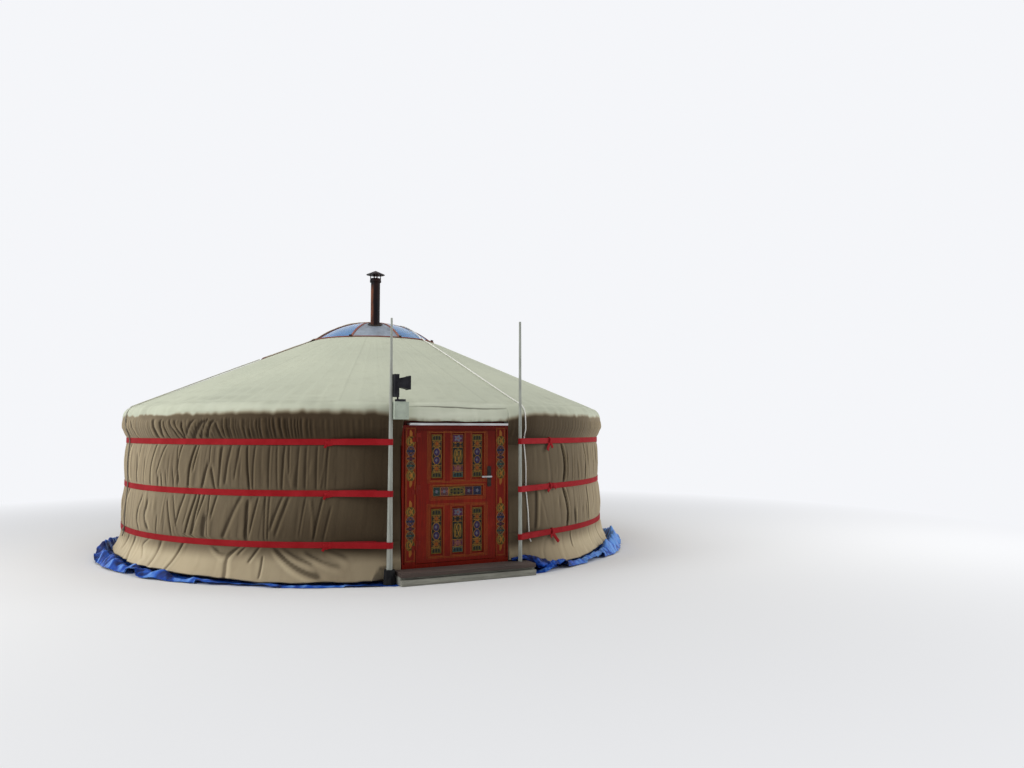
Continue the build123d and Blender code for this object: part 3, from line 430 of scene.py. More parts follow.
finishes = {
    "floor_timber": timberFinish("floor_boards", (0.50, 0.36, 0.22), (0.30, 0.19, 0.10), (0.6, 9, 9),
                                 (1, 0.12)),
    "weathered_timber": timberFinish("kerb_timber", (0.34, 0.34, 0.28), (0.15, 0.145, 0.12), (0.8, 10, 10)),
    "step_timber": timberFinish("step_timber", (0.080, 0.052, 0.040), (0.030, 0.019, 0.014), (0.8, 10, 10),
                                (1, 0.115)),
    "crown_timber": paintFinish("crown_paint", (0.30, 0.045, 0.02), (0.30, 0.12, 0.07)),
    "post_timber": paintFinish("post_paint", (0.32, 0.04, 0.015), (0.40, 0.14, 0.05)),
    "lattice_timber": paintFinish("lattice_paint", (0.34, 0.055, 0.02), (0.40, 0.17, 0.09), roughness=0.55),
    "roof_pole_timber": paintFinish("roof_pole_paint", (0.34, 0.05, 0.015), (0.42, 0.16, 0.07),
                                    roughness=0.5),
    "door_red": paintFinish("door_paint", (0.200, 0.009, 0.002), (0.30, 0.032, 0.006), wear=0.35,
                            roughness=0.34, coat=0.03, gloss=0.1, eaveShadow=0.5),
    "header_white": paintFinish("header_paint", (0.74, 0.73, 0.74), (0.45, 0.42, 0.40), (2, 30, 30),
                                wear=0.4),
    "pole_paint": paintFinish("pole_paint", (0.41, 0.43, 0.38), (0.26, 0.25, 0.21), wear=0.6, roughness=0.55),
    "pipe_sheet": metalFinish("pipe_sheet", (0.235, 0.275, 0.330), (0.165, 0.180, 0.205), 0.3, 0.5,
                              gloss=0.3),
    "crown_trim": webbingFinish("crown_trim", (0.26, 0.085, 0.065), (0.34, 0.15, 0.11), 900.0),
    "chimney_black": metalFinish("chimney_enamel", (0.006, 0.005, 0.007), (0.030, 0.010, 0.008), 0.0, 0.5,
                                 3.0, (1, 1, 0.3), 0.08),
    "hinge_steel": paintFinish("hinge_paint", (0.20, 0.012, 0.004), (0.20, 0.06, 0.03), roughness=0.45,
                               gloss=0.15),
    "plate_dark": metalFinish("plate_dark", (0.012, 0.010, 0.009), (0.04, 0.028, 0.020), 0.0, 0.5, 20.0,
                              gloss=0.15),
    "lever_steel": metalFinish("lever_steel", (0.36, 0.36, 0.36), (0.24, 0.24, 0.23), 1.0, 0.38, 20.0),
    "foot_black": metalFinish("foot_rubber", (0.008, 0.008, 0.009), (0.025, 0.025, 0.025), 0.0, 0.7, 12.0,
                              gloss=0.1),
    "box_grey": metalFinish("box_plastic", (0.42, 0.475, 0.385), (0.31, 0.35, 0.28), 0.0, 0.5, 7.0),
    "lamp_black": metalFinish("lamp_black", (0.012, 0.012, 0.015), (0.030, 0.030, 0.034), 0.0, 0.5, 15.0,
                              gloss=0.1),
    "lamp_glass": metalFinish("lamp_glass", (0.50, 0.51, 0.50), (0.40, 0.40, 0.38), 0.2, 0.2, 12.0),
    "belt_red": webbingFinish("belt_webbing", (0.300, 0.005, 0.009), (0.38, 0.014, 0.020), 700.0),
    "wall_canvas": clothFinish("wall_canvas", (0.34, 0.28, 0.20), (0.28, 0.23, 0.16), (0.21, 0.17, 0.115)),
    "wall_cloth": clothFinish("wall_cloth", (0.500, 0.410, 0.265), (0.430, 0.345, 0.220),
                              (0.300, 0.232, 0.145), creaseShade=0.80, crest=0.60),
    "roof_canvas": clothFinish("roof_canvas", (0.50, 0.52, 0.405), (0.46, 0.48, 0.37), (0.37, 0.38, 0.28),
                               wrinkle=0.002),
    # roof cloth: the side colour is painted shade where the cloth turns down under the eave
    "roof_cloth": clothFinish("roof_cloth", (0.510, 0.532, 0.412), (0.465, 0.487, 0.380), (0.37, 0.37, 0.27),
                              creaseShade=0.85, crest=0.65, wrinkle=0.002, side=(0.450, 0.365, 0.235)),
    "flap_canvas": clothFinish("flap_canvas", (0.54, 0.54, 0.43), (0.47, 0.48, 0.38), (0.38, 0.36, 0.27)),
    "rope_white": clothFinish("rope_white", (0.86, 0.85, 0.80), (0.76, 0.75, 0.69), (0.52, 0.49, 0.42),
                              wrinkle=0.001),
    "rope_grey": cornerRopeFinish(),
    "felt": clothFinish("felt", (0.55, 0.53, 0.48), (0.46, 0.44, 0.39), (0.34, 0.31, 0.26), weave=300.0),
    "crown_glazing": glazingFinish(),
    "blue_sheet": tarpFinish(),
}
# painted reflection down one side of the chimney
paintedReflectionSide(finishes["chimney_black"], "chimney_pipe", -80.0, (0.26, 0.085, 0.040))
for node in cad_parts.values():
    for cadSlot in node.material_slots:
        finishName = cadSlot.material.name.split(".")[0] if cadSlot.material else ""
        if finishName in finishes:
            cadSlot.material = finishes[finishName]
print("finishes made")


wall = {
    "belts": (0.375, 0.870, 1.372),
    "seats": (3.0600, 3.0340, 3.0260),   # radius under each belt
    "beltHalf": 0.030,
    "bulge": 0.010,              # between two belts
    "hemRadius": 3.176,
    "hem": 0.046,
    "flare": 2.1,                # how late the skirt opens
    "edges": (11.42, 349.27),    # degrees, at the door frame
    "felt": 3.0075,
    "round": 3.05,               # radius at which distances along the wall are measured
    "columns": 1330,
    "pleatSpacing": 0.088,
    "pleatRise": 0.020,
}
poles = {"azimuth": 12.893, "distance": 3.1597, "radii": (0.030, 0.021), "foot": 0.062, "footTop": 0.16}
# what changes round the wall: degrees from the door, then the value there
roundWall = {
    # how much painted shade darkens the cloth
    "shade": (
        (-180, -110, -84, -70, -60, -50, -40, -30, -20, -14, 14, 20, 30, 38, 44, 55, 70, 110, 180),
        (0.44, 0.42, 0.34, 0.44, 0.64, 0.76, 0.84, 0.90, 0.95, 0.98, 0.92, 0.82, 0.78, 0.64, 0.46, 0.40, 0.36,
         0.42, 0.44),
    ),
    # share of the loose folds that stays: little beside the door and where creases are drawn one by one
    "calm": (
        (-180, -100, -86, -80, -28, -20, 20, 30, 36, 50, 90, 180),
        (0.85, 0.85, 0.60, 0.34, 0.34, 0.13, 0.13, 0.35, 0.62, 0.50, 0.75, 0.85),
    ),
    # how much painted light brightens the skirt's folds, and how much it lifts the painted shade of the skirt
    "bright": ((-100, -80, -50, -38, 24, 36, 60, 75), (0.2, 0.8, 0.6, 0.2, 0.0, 0.6, 0.7, 0.2)),
    "paler": ((-70, -50, -40, -20, 16, 26, 60), (1.0, 0.75, 0.60, 0.50, 0.40, 0.85, 0.95)),
    # the same two for the strip that hangs from the eave: its folds, and how far above its edge its painted
    # shade fades in
    "eaveCalm": (
        (-180, -95, -85, -68, -64, -46, -44, -30, -24, -14, 30, 40, 52, 90, 180),
        (0.80, 0.80, 0.35, 0.30, 0.45, 0.45, 1.0, 0.9, 0.30, 0.12, 0.14, 0.35, 0.50, 0.8, 0.8),
    ),
    "stain": ((-180, -62, -40, -20, 20, 40, 60, 180),
              (0.016, 0.016, 0.050, 0.070, 0.055, 0.035, 0.016, 0.016)),
}


def signedTurn(azimuth):
    # degrees from the door, -180 to 180
    return (np.degrees(azimuth) + 180) % 360 - 180


def scallops(place, level, seed, spacing, rise, crest=0.9):
    # arches between uneven creases: rise sin(pi t)^crest, each arch with a height that drifts with the level
    generator = np.random.default_rng(seed)
    first, last = -8.0, 21.0
    marks = first + np.cumsum(spacing * generator.uniform(0.45, 1.65, int((last - first) / spacing * 1.1)))
    index = np.clip(np.searchsorted(marks, place), 1, len(marks) - 1)
    t = np.clip((place - marks[index - 1]) / (marks[index] - marks[index - 1]), 0, 1)
    height = rise * np.clip((marks[index] - marks[index - 1]) / spacing, 0.4, 1.4)
    drift = 0.72 + 0.55 * latticeNoise(index * 7.31, level, seed + 1)
    return height * drift * np.sin(np.pi * t) ** crest


def foldField(along, height, bounds, seed, spacing, width, depth, lean, ends):
    # loose folds between two heights: exp(-|u|^1.5) across each line, a trough on one side, faded ends
    generator = np.random.default_rng(seed)
    low, high = bounds
    total = np.zeros(along.shape)
    place = along.min() - 0.3
    inside = (height >= low) & (height <= high)
    while place < along.max() + 0.3:
        place += spacing * generator.uniform(0.4, 1.6)
        slope = lean(place) + generator.normal(0, 0.12)
        bend = generator.normal(0, 0.25)
        middle, span = (low + high) / 2, high - low
        centre = place + slope * (height - middle) + bend * (height - middle) ** 2
        size = width * generator.uniform(0.6, 1.6)
        rise = depth * generator.uniform(0.3, 1.3)
        start = low + span * (generator.uniform(0, 0.55) if generator.random() < ends else -0.2)
        end = high - span * (generator.uniform(0, 0.55) if generator.random() < ends else -0.2)
        fade = smoothStep(height, start - 0.04, start + 0.09)
        fade = fade * (1 - smoothStep(height, end - 0.09, end + 0.04))
        u = (along - centre) / size
        near = (np.abs(u) < 5) & inside
        side = generator.choice((-1, 1))
        shape = np.exp(-np.abs(u[near]) ** 1.5) - 0.55 * np.exp(-(((u[near] - 1.5 * side) / 0.9) ** 2))
        total[near] += rise * shape * fade[near]
    return total


def rowHeights(stops):
    # heights of a grid's rows: each stretch is closer spaced towards both its ends
    rows = [np.array([stops[0][0]])]
    for (start, _), (end, count) in zip(stops, stops[1:]):
        t = np.linspace(0, 1, count + 1)[1:]
        rows.append(start + (end - start) * (t - 0.10 * np.sin(2 * np.pi * t)))
    return np.concatenate(rows)


def hollows(offset, reach):
    # how far each point lies under the mean of its neighbours along the wall: -1 on ridges, 1 in creases
    total = np.cumsum(np.pad(offset, ((0, 0), (reach + 1, reach)), mode="edge"), axis=1)
    mean = (total[:, 2 * reach + 1:] - total[:, :-2 * reach - 1]) / (2 * reach + 1)
    return np.clip((mean - offset) / 0.0055, -1, 1)


def keepOffPoles(radius, azimuth, height):
    # dents where the cloth lies behind the two poles: limit = pole's near side + 3 (distance along)^1.5
    turn = signedTurn(azimuth)
    for side, size in zip((-1, 1), poles["radii"]):
        away = np.radians(np.abs(turn - side * poles["azimuth"])) * wall["round"]
        body = np.where((side < 0) & (height < poles["footTop"]), poles["foot"], size)
        limit = poles["distance"] - body - 0.008 + 3.0 * np.clip(away - body, 0, 1) ** 1.5
        radius = np.minimum(radius, limit)
    return radius


def wallProfile(height):
    # radius of the smooth wall: seats under the belts, shallow arcs between them, a flare below
    low, middle, high = wall["belts"]
    half = wall["beltHalf"] + 0.006
    places = [belt + side * half for belt in wall["belts"] for side in (-1, 1)]
    radius = np.interp(height, places, np.repeat(wall["seats"], 2))
    for start, end in ((low, middle), (middle, high)):
        t = np.clip((height - start - half) / (end - start - 2 * half), 0, 1)
        radius += wall["bulge"] * 4 * t * (1 - t)
    t = np.clip((low - half - height) / (low - half - wall["hem"]), 0, 1.2)
    return radius + (wall["hemRadius"] - wall["seats"][0]) * t ** wall["flare"]


# how far the folds lean to the right as they rise, for the skirt, the low and the high band
leans = {
    "turn": (-95, -80, -66, -58, -52, -47, -40, -30, -20, 10, 26, 40, 60),
    0: (0.10, 0.20, 0.20, 0.25, 0.35, 0.30, 0.25, -0.10, -0.05, 0.0, 0.0, -0.03, 0.0),
    1: (0.02, 0.12, 0.00, -0.10, 0.30, 0.08, 0.10, 0.16, 0.10, 0.0, -0.08, -0.06, 0.0),
    2: (0.00, 0.00, 0.24, 0.10, 0.27, 0.03, -0.02, 0.02, 0.02, 0.0, -0.02, -0.06, 0.0),
}
# creases as (depth and width in mm, then azimuth and share of the band's height at each place along it)
creases = {
    "top": [
        (9, 15, -78.8, 1.0, -79.2, 0.1), (8, 15, -75.6, 1.0, -73.6, 0.0),
        (15, 22, -64.2, 0.95, -63.6, 0.05), (15, 18, -61.5, 0.95, -61.6, 0.1),
        (11, 12, -60.4, 0.8, -59.6, 0.0), (12, 12, -58.6, 0.95, -56.6, 0.0),
        (12, 12, -57.0, 0.85, -55.4, 0.0), (15, 14, -54.8, 0.75, -55.0, 0.0),
        (12, 12, -51.6, 0.95, -54.4, 0.15), (16, 18, -49.3, 0.85, -52.6, 0.0),
        (14, 14, -48.2, 0.9, -50.6, 0.05), (14, 12, -47.0, 0.85, -48.8, 0.1),
        (13, 12, -46.4, 0.8, -45.3, 0.0),
    ],
    "high": [
        (15, 28, -78.4, 0.95, -79.6, 0.45, -78.8, 0.0), (7, 20, -73.4, 0.7, -73.6, 0.05),
        (5, 12, -69.2, 0.6, -69.4, 0.1), (16, 14, -64.1, 1.0, -66.1, 0.45, -66.5, 0.1),
        (10, 11, -60.4, 1.0, -63.9, 0.35), (12, 18, -63.4, 0.25, -63.6, 0.0),
        (10, 12, -62.2, 0.3, -62.0, 0.0), (8, 10, -60.6, 0.35, -60.4, 0.0),
        (8, 10, -58.2, 0.4, -58.0, 0.0), (7, 8, -57.0, 0.9, -56.8, 0.1),
        (13, 10, -55.6, 1.0, -56.6, 0.45, -56.4, 0.2), (20, 14, -51.7, 1.0, -53.4, 0.45, -54.0, 0.0),
        (14, 10, -50.9, 1.0, -52.4, 0.45), (16, 14, -48.6, 0.55, -50.4, 0.0),
        (14, 12, -47.8, 0.5, -46.8, 0.0), (7, 8, -48.1, 0.95, -48.1, 0.5),
        (10, 12, -45.4, 0.9, -46.0, 0.05), (9, 12, -43.4, 0.95, -44.6, 0.2),
        (7, 10, -41.4, 0.95, -42.4, 0.3), (15, 9, -39.9, 1.0, -39.2, 0.0),
        (8, 9, -38.2, 0.95, -38.6, 0.0), (7, 9, -35.3, 0.95, -35.4, 0.0),
        (6, 8, -33.9, 0.95, -33.6, 0.0), (8, 9, -32.4, 0.95, -32.8, 0.0),
        (8, 7, -31.5, 0.95, -31.4, 0.4), (6, 9, -29.6, 0.95, -30.0, 0.0),
        (6, 9, -28.2, 0.95, -28.4, 0.0), (7, 8, -26.2, 0.95, -26.3, 0.0),
        (5, 8, -24.2, 0.9, -24.6, 0.0), (24, 14, 28.2, 0.95, 29.2, 0.45, 28.8, 0.0),
        (16, 12, 39.2, 1.0, 40.6, 0.5, 40.2, 0.0), (9, 10, 47.5, 0.9, 48.0, 0.2),
    ],
    "low": [
        (14, 26, -78.6, 1.0, -82.0, 0.55), (8, 22, -69.9, 0.8, -72.0, 0.35, -70.2, 0.0),
        (12, 24, -67.1, 0.7, -67.6, 0.4, -66.4, 0.15), (7, 12, -62.8, 0.4, -63.0, 0.0),
        (11, 12, -59.6, 0.75, -57.5, 0.0), (7, 10, -58.0, 0.9, -56.4, 0.3),
        (12, 12, -54.4, 1.0, -56.4, 0.35), (18, 12, -51.4, 1.0, -54.0, 0.0),
        (20, 13, -50.5, 1.0, -52.2, 0.0), (13, 10, -49.2, 1.0, -51.5, 0.2),
        (14, 24, -48.9, 0.5, -49.2, 0.0), (12, 9, -48.1, 1.0, -48.0, 0.0),
        (9, 10, -46.2, 1.0, -47.4, 0.5), (8, 16, -40.8, 1.0, -43.4, 0.4, -44.6, 0.1),
        (20, 15, -39.5, 0.8, -39.6, 0.05), (10, 9, -37.4, 0.9, -39.2, 0.0),
        (9, 8, -36.0, 1.0, -35.8, 0.0), (8, 8, -35.1, 0.95, -35.2, 0.1),
        (9, 12, -32.4, 1.0, -34.8, 0.3), (7, 12, -31.2, 1.0, -33.8, 0.2),
        (6, 9, -28.2, 0.95, -29.2, 0.2), (9, 9, -25.0, 0.95, -26.8, 0.0),
        (6, 9, -23.6, 0.7, -25.0, 0.0), (24, 14, 28.5, 1.0, 30.0, 0.3, 29.6, 0.0),
        (9, 16, 33.2, 0.4, 33.6, 0.0), (10, 12, 41.0, 0.9, 41.4, 0.1), (10, 18, 19.4, 1.0, 18.6, 0.1),
    ],
    "skirt": [
        (8, 20, -76.0, 0.95, -79.4, 0.4), (13, 26, -72.2, 0.9, -73.4, 0.35, -72.2, 0.05),
        (9, 12, -64.6, 1.0, -67.6, 0.72), (7, 16, -68.0, 0.65, -66.2, 0.3),
        (9, 22, -60.8, 0.95, -62.8, 0.15), (20, 14, -53.8, 1.0, -57.4, 0.05),
        (12, 18, -40.1, 1.0, -43.0, 0.6, -42.6, 0.0), (9, 10, -39.0, 1.0, -41.0, 0.7),
        (12, 10, -36.4, 1.0, -38.6, 0.5), (12, 9, -36.0, 0.6, -35.8, 0.1),
        (8, 10, 30.9, 1.0, 30.8, 0.4), (6, 16, 47.0, 1.0, 50.0, 0.2),
    ],
    "drapes": [   # the skirt's sagging creases
        (8, 20, -47.5, 0.95, -44.2, 0.66, -41.0, 0.78),
        (13, 22, -34.4, 0.95, -31.0, 0.50, -27.5, 0.22, -24.0, 0.08),
        (8, 20, -33.0, 1.0, -30.0, 0.68, -25.5, 0.40), (7, 20, -28.4, 0.80, -24.0, 0.48, -20.5, 0.34),
        (6, 20, -24.5, 0.92, -19.5, 0.56),
    ],
}


def foldLean(place, band):
    # lean of the folds: read between the listed turns, plus 0.06 noise
    turn = signedTurn(place / wall["round"])
    lean = np.interp(turn, leans["turn"], leans[band])
    return lean + 0.06 * latticeNoise(place / 0.30, band * 3.0 + 0.5, 15 + band)


def curveThrough(value, places, marks):
    # smooth curve through a few points: cubic Hermite pieces with the slopes of their neighbours
    if len(places) == 2:
        return np.interp(value, places, marks)
    slope = np.gradient(marks, places)
    i = np.clip(np.searchsorted(places, value) - 1, 0, len(places) - 2)
    span = places[i + 1] - places[i]
    t = np.clip((value - places[i]) / span, 0, 1)
    start = (1 + 2 * t) * (1 - t) ** 2 * marks[i] + t * (1 - t) ** 2 * span * slope[i]
    return start + t * t * (3 - 2 * t) * marks[i + 1] + t * t * (t - 1) * span * slope[i + 1]


def drawnCreases(along, share, span, lines, level=False):
    # sum of troughs -d exp(-|u|^1.5), each with a ridge 0.6 d exp(-((u-1.7)/0.9)^2) on one side,
    # u = distance / width; a steep crease is measured along the wall, a level one up and down
    total = np.zeros(along.shape)
    for depth, width, *places in lines:
        turns, marks = np.radians(places[0::2]) * wall["round"], np.array(places[1::2])
        steep = 1 / math.hypot(1, (turns[-1] - turns[0]) / (span * (marks[0] - marks[-1])))
        if level:
            distance = (curveThrough(along, turns, marks) - share) * span * math.sqrt(1 - steep**2)
            fade = smoothStep(along, turns[0] - 0.02, turns[0] + 0.06)
            fade = fade * (1 - smoothStep(along, turns[-1] - 0.10, turns[-1]))
        else:
            distance = (along - curveThrough(share, marks[::-1], turns[::-1])) * steep
            fade = smoothStep(share, marks[-1] - 0.10, marks[-1] + 0.06)
            fade = fade * (1 - smoothStep(share, marks[0] - 0.06, marks[0] + 0.10))
        u = np.clip(distance / (0.0013 * width), -6, 6)
        total += 0.001 * depth * fade * (0.6 * bell(u, 1.7, 0.9) - np.exp(-np.abs(u) ** 1.5))
    return total


def leaningGrid(place, height):
    # plan length at each point of a grid whose columns follow the folds of each band
    low, middle, high = wall["belts"]
    half = wall["beltHalf"]
    bands = ((-0.1, low, 0.20), (low, middle, (low + middle) / 2), (middle, high, (middle + high) / 2))
    stops, shifts = [], []
    for band, (start, end, centre) in enumerate(bands):
        lean = foldLean(place, band)
        for stop in (start + half, end - half):
            stops.append(stop)
            shifts.append(lean * (stop - centre))
    shift = shifts[0] + 0 * height
    for i in range(1, len(stops)):
        t = np.clip((height - stops[i - 1]) / (stops[i] - stops[i - 1]), 0, 1)
        shift = shift + (shifts[i] - shifts[i - 1]) * t
    return place + shift


def looseFolds(along, height):
    # the free folds of the low and the high band and of the skirt
    low, middle, high = wall["belts"]
    fields = (
        ((low, middle), 12, 0.17, 0.019, 0.020, lambda p: float(foldLean(p, 1)), 0.8),
        ((middle, high), 13, 0.16, 0.018, 0.019, lambda p: float(foldLean(p, 2)), 0.8),
        ((-0.1, low), 11, 0.24, 0.034, 0.024, lambda p: 0.30 * math.sin(p * 1.7), 0.7),
    )
    return sum(foldField(along, height, *field) for field in fields)


def wallCreases(signed, height):
    # the creases drawn one by one, at a distance from the door
    low, middle, high = wall["belts"]
    hem, band = wall["hem"], np.digitize(height, (low, middle))
    bands = ((0, "skirt", hem, low), (0, "drapes", hem, low), (1, "low", low, middle),
             (2, "high", middle, high))
    drawn = np.zeros(signed.shape)
    for index, name, start, end in bands:
        share = (height - start) / (end - start)
        drawn += (band == index) * drawnCreases(signed, share, end - start, creases[name], name == "drapes")
    return drawn


def wallFolds(place, along, height):
    # folds of the gathered wall, pinched at each belt and calmer beside the door
    turn = signedTurn(along / wall["round"])
    low, middle, _ = wall["belts"]
    gap = np.min(np.abs(np.stack([height - belt for belt in wall["belts"]])), 0) - wall["beltHalf"]
    band = np.digitize(height, (low, middle)) * 1.0
    spacing, rise = wall["pleatSpacing"], wall["pleatRise"]
    main = scallops(place + 0.02 * band, height / 0.16 + band * 5, 6, spacing, rise, 0.6)
    small = scallops(place, height / 0.10 + band * 5, 8, 0.034, 0.0065, 1.0)
    near = np.exp(-np.clip(gap, 0, 1) / 0.085)
    loose = looseFolds(along, height)
    broad = latticeNoise(place / 0.26, height / 0.40, 7)
    uneven = 0.62 + 0.62 * latticeNoise(place / 0.42 + 3.1 * band, 0.5 + 0 * place, 19)
    main, small = main * uneven, small * (0.4 + 0.7 * uneven)
    skirt = 1 - 0.45 * smoothStep(low - height, 0.02, 0.16)
    folds = skirt * (main + small * (0.25 + 0.75 * near)) + loose - 0.55 * rise * skirt
    plain = (height < low) * smoothStep(turn, -58, -50) * (1 - smoothStep(turn, -20, -14))
    folds = folds * np.interp(turn, *roundWall["calm"]) * (1 - 0.75 * plain) + 0.008 * broad
    drawn = wallCreases(np.radians(turn) * wall["round"], height)
    pinch = 0.35 + 0.65 * smoothStep(gap, -0.002, 0.050)
    return (folds + drawn) * pinch, gap, drawn * pinch


def foldTone(offset, drawn):
    # broad hollows, fine creases and the drawn lines together, from -1 on ridges to 1 in the deepest folds
    # the tone is used as painted shade in folds (above 0) and painted highlight on ridges (below 0)
    return np.clip(0.5 * hollows(offset, 8) + 0.5 * hollows(offset, 3) - drawn / 0.010, -1, 1)


def wallSheet(name, start, end, seed, lap):
    # half of the wall: profile + folds + lap at each height, its hem raised where the ground rises
    low, middle, high = wall["belts"]
    half = wall["beltHalf"]
    level = rowHeights([(0.0, 0), (low - half, 28), (low + half, 3), (middle - half, 16), (middle + half, 3),
                        (high - half, 16), (high - 0.002, 3)])[:, None]
    place = np.radians(np.linspace(start, end, wall["columns"]))[None, :] * wall["round"]
    along = leaningGrid(place, level)
    edge = smoothStep(place - place[0, 0], 0.0, 0.25) * smoothStep(place[0, -1] - place, 0.0, 0.25)
    along = place + (along - place) * edge
    azimuth = along / wall["round"]
    turn = signedTurn(azimuth)
    onStep = smoothStep(turn, -13.6, -12.4) * (1 - smoothStep(turn, 15.2, 16.4))
    wave = latticeNoise(along / 0.35, 0 * along, seed) + 0.5 * latticeNoise(along / 0.11, 0 * along, seed + 1)
    sag = 0.010 * bell(turn, -58, 22) - 0.014 * bell(turn, -30, 10)
    raised = 0.050 * bell(turn, -90, 20) + 0.052 * bell(turn, 62, 22)
    hem = wall["hem"] + 0.009 * wave + sag * (turn < 0) + onStep * 0.083 + raised
    height = hem + (high - hem) * level / high
    offset, gap, drawn = wallFolds(place, along, height)
    radius = wallProfile(height) + offset + lap
    seat = np.interp(height, wall["belts"], wall["seats"])
    radius = np.where(gap < 0.005, np.minimum(radius, seat - 0.0012), radius)
    radius = np.maximum(radius, wall["felt"] + lap)
    radius = keepOffPoles(radius, azimuth, height)
    radius = np.where((onStep > 0.98) & (height < 0.20), np.minimum(radius, 3.088), radius)
    # hems: the lowest row and the end columns turn under
    radius[0], height[0] = radius[1] - 0.007, height[1] + 0.012
    for column in (0, -1):
        radius[:, column] = np.maximum(radius[:, column] - 0.020, wall["felt"] - 0.002)
    skirt = smoothStep(low - half - height, 0.0, 0.16)
    # painted shade in the folds and painted highlights on the ridges, with painted light on the skirt
    crease = np.clip(foldTone(offset, drawn) - np.interp(turn, *roundWall["bright"]) * skirt, -1, 1)
    # painted shade round the wall, lessened as painted light low on the right and on the skirt, with a little
    # random tone
    shade = np.interp(turn, *roundWall["shade"])
    shade = shade - 0.12 * smoothStep(turn, 16, 24) * smoothStep(-height, -0.95, -0.75)
    shade = shade * (1 - np.interp(turn, *roundWall["paler"]) * skirt)
    shade = shade + 0.06 * latticeNoise(along / 0.5, height / 0.4, 24)
    part = {"points": onPlan(radius, azimuth, height), "uv": np.stack([along, height], -1)}
    return buildPiece(name, [part], finishes["wall_cloth"],
                      attributes={"crease": crease, "shade": np.clip(shade, 0, 1)})


rightWall = wallSheet("wall_canvas_right", wall["edges"][0], 181.2, 21, 0.0)
leftWall = wallSheet("wall_canvas_left", 178.8, wall["edges"][1], 22, 0.0025)
print("wall canvas made")

felt = {
    "inner": 2.9615,
    "outer": 3.0045,
    "low": 0.020,
    "high": 1.600,
    "overStep": 0.124,
    "round": 0.010,   # at its edges
}


def feltShell():
    # closed shell of felt inside the canvas: a rounded rectangle carried round the plan from jamb to jamb
    inner, outer, low, high, bend = [felt[key] for key in ("inner", "outer", "low", "high", "round")]
    outline = [(inner, low + bend), (inner + bend, low), (outer - bend, low), (outer, low + bend)]
    outline += [(outer, z) for z in np.linspace(low, high, 9)[1:-1]]
    outline += [(outer, high - bend), (outer - bend, high), (inner + bend, high), (inner, high - bend)]
    outline += [(inner, z) for z in np.linspace(high, low, 9)[1:-1]]
    outline = np.array(outline)
    azimuth = np.radians(np.linspace(wall["edges"][0] + 0.1, wall["edges"][1] - 0.1, 300))[:, None]
    across, height = outline[None, :, 0], outline[None, :, 1]
    ripple = 0.0012 * latticeNoise(azimuth * 30, height * 6, 31)
    points = onPlan(across + ripple, azimuth, height)
    # over the step the felt starts higher
    turn = signedTurn(azimuth + 0 * height)
    overStep = (turn > -12.6) & (turn < 15.6)
    points[..., 2] = np.where(overStep, np.maximum(points[..., 2], felt["overStep"]), points[..., 2])
    uv = np.stack([azimuth * 3 + 0 * height, height + 0 * azimuth], -1)
    return buildPiece("wall_felt", [{"points": points, "wrap": True, "caps": True, "uv": uv, "flip": True}],
                      finishes["felt"], attributes={"crease": np.zeros(points.shape[:2])})


wallFelt = feltShell()
# each half of the wall is one strip, gathered under the belts
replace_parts(wallFelt, *[f"wall_cover_{i}" for i in range(1, 7)])


roof = {
    "crown": (0.800, 2.680),
    "eave": (3.066, 1.723),
    "rounding": 0.120,
    "fall": 1.520,            # from here the cloth draws in to the top belt
    "start": 0.824,           # radius where it comes out from under the crown's rim
    "doorHem": 1.574,
    "overDoor": (-0.558, 0.594),   # the short hem runs between these places on x
    "gathered": 1.615,        # top of the drawn creases under the eave
    "poles": 48,
    "rows": 44,
    "columns": 640,
    "seam": 62.0,             # degrees where the two halves lap
    "half": 181.2,            # degrees that each half covers
    "join": 0.050,            # the skirt's strip starts this far above the eave's arc
}
roofSlope = (roof["crown"][1] - roof["eave"][1]) / (roof["eave"][0] - roof["crown"][0])
roofAngle = math.atan(roofSlope)
arcMiddle = roof["eave"][0] - roof["rounding"]
arcHeight = roof["crown"][1] - (arcMiddle - roof["crown"][0]) * roofSlope
arcHeight -= roof["rounding"] / math.cos(roofAngle)
slopeLength = (arcMiddle + roof["rounding"] * math.sin(roofAngle) - roof["start"]) / math.cos(roofAngle)
arcLength = roof["rounding"] * (math.pi / 2 - roofAngle)


def onSlope(radius):
    # height of the plain cone
    return roof["crown"][1] - (radius - roof["crown"][0]) * roofSlope


def roofPlace(travel, lift):
    # radius and height at a distance down the roof: slope, arc over the eave, upright, in to the top belt
    arc = roofAngle + np.clip(travel - slopeLength, 0, arcLength) / roof["rounding"]
    down = np.clip(travel - slopeLength - arcLength, 0, 10)
    radius = roof["start"] + np.clip(travel, 0, slopeLength) * math.cos(roofAngle)
    past = travel > slopeLength
    level = arcHeight + (roof["rounding"] + lift) * np.cos(arc) - down
    seatTop = wall["belts"][2] + wall["beltHalf"] + 0.006
    drawn = np.clip((roof["fall"] - level) / (roof["fall"] - seatTop), 0, 1)
    outer = arcMiddle + (roof["rounding"] + lift) * np.sin(arc) - drawn * (roof["eave"][0] - wall["seats"][2])
    height = np.where(past, level, onSlope(radius) + lift * math.cos(roofAngle))
    return np.where(past, outer, radius + lift * math.sin(roofAngle)), height


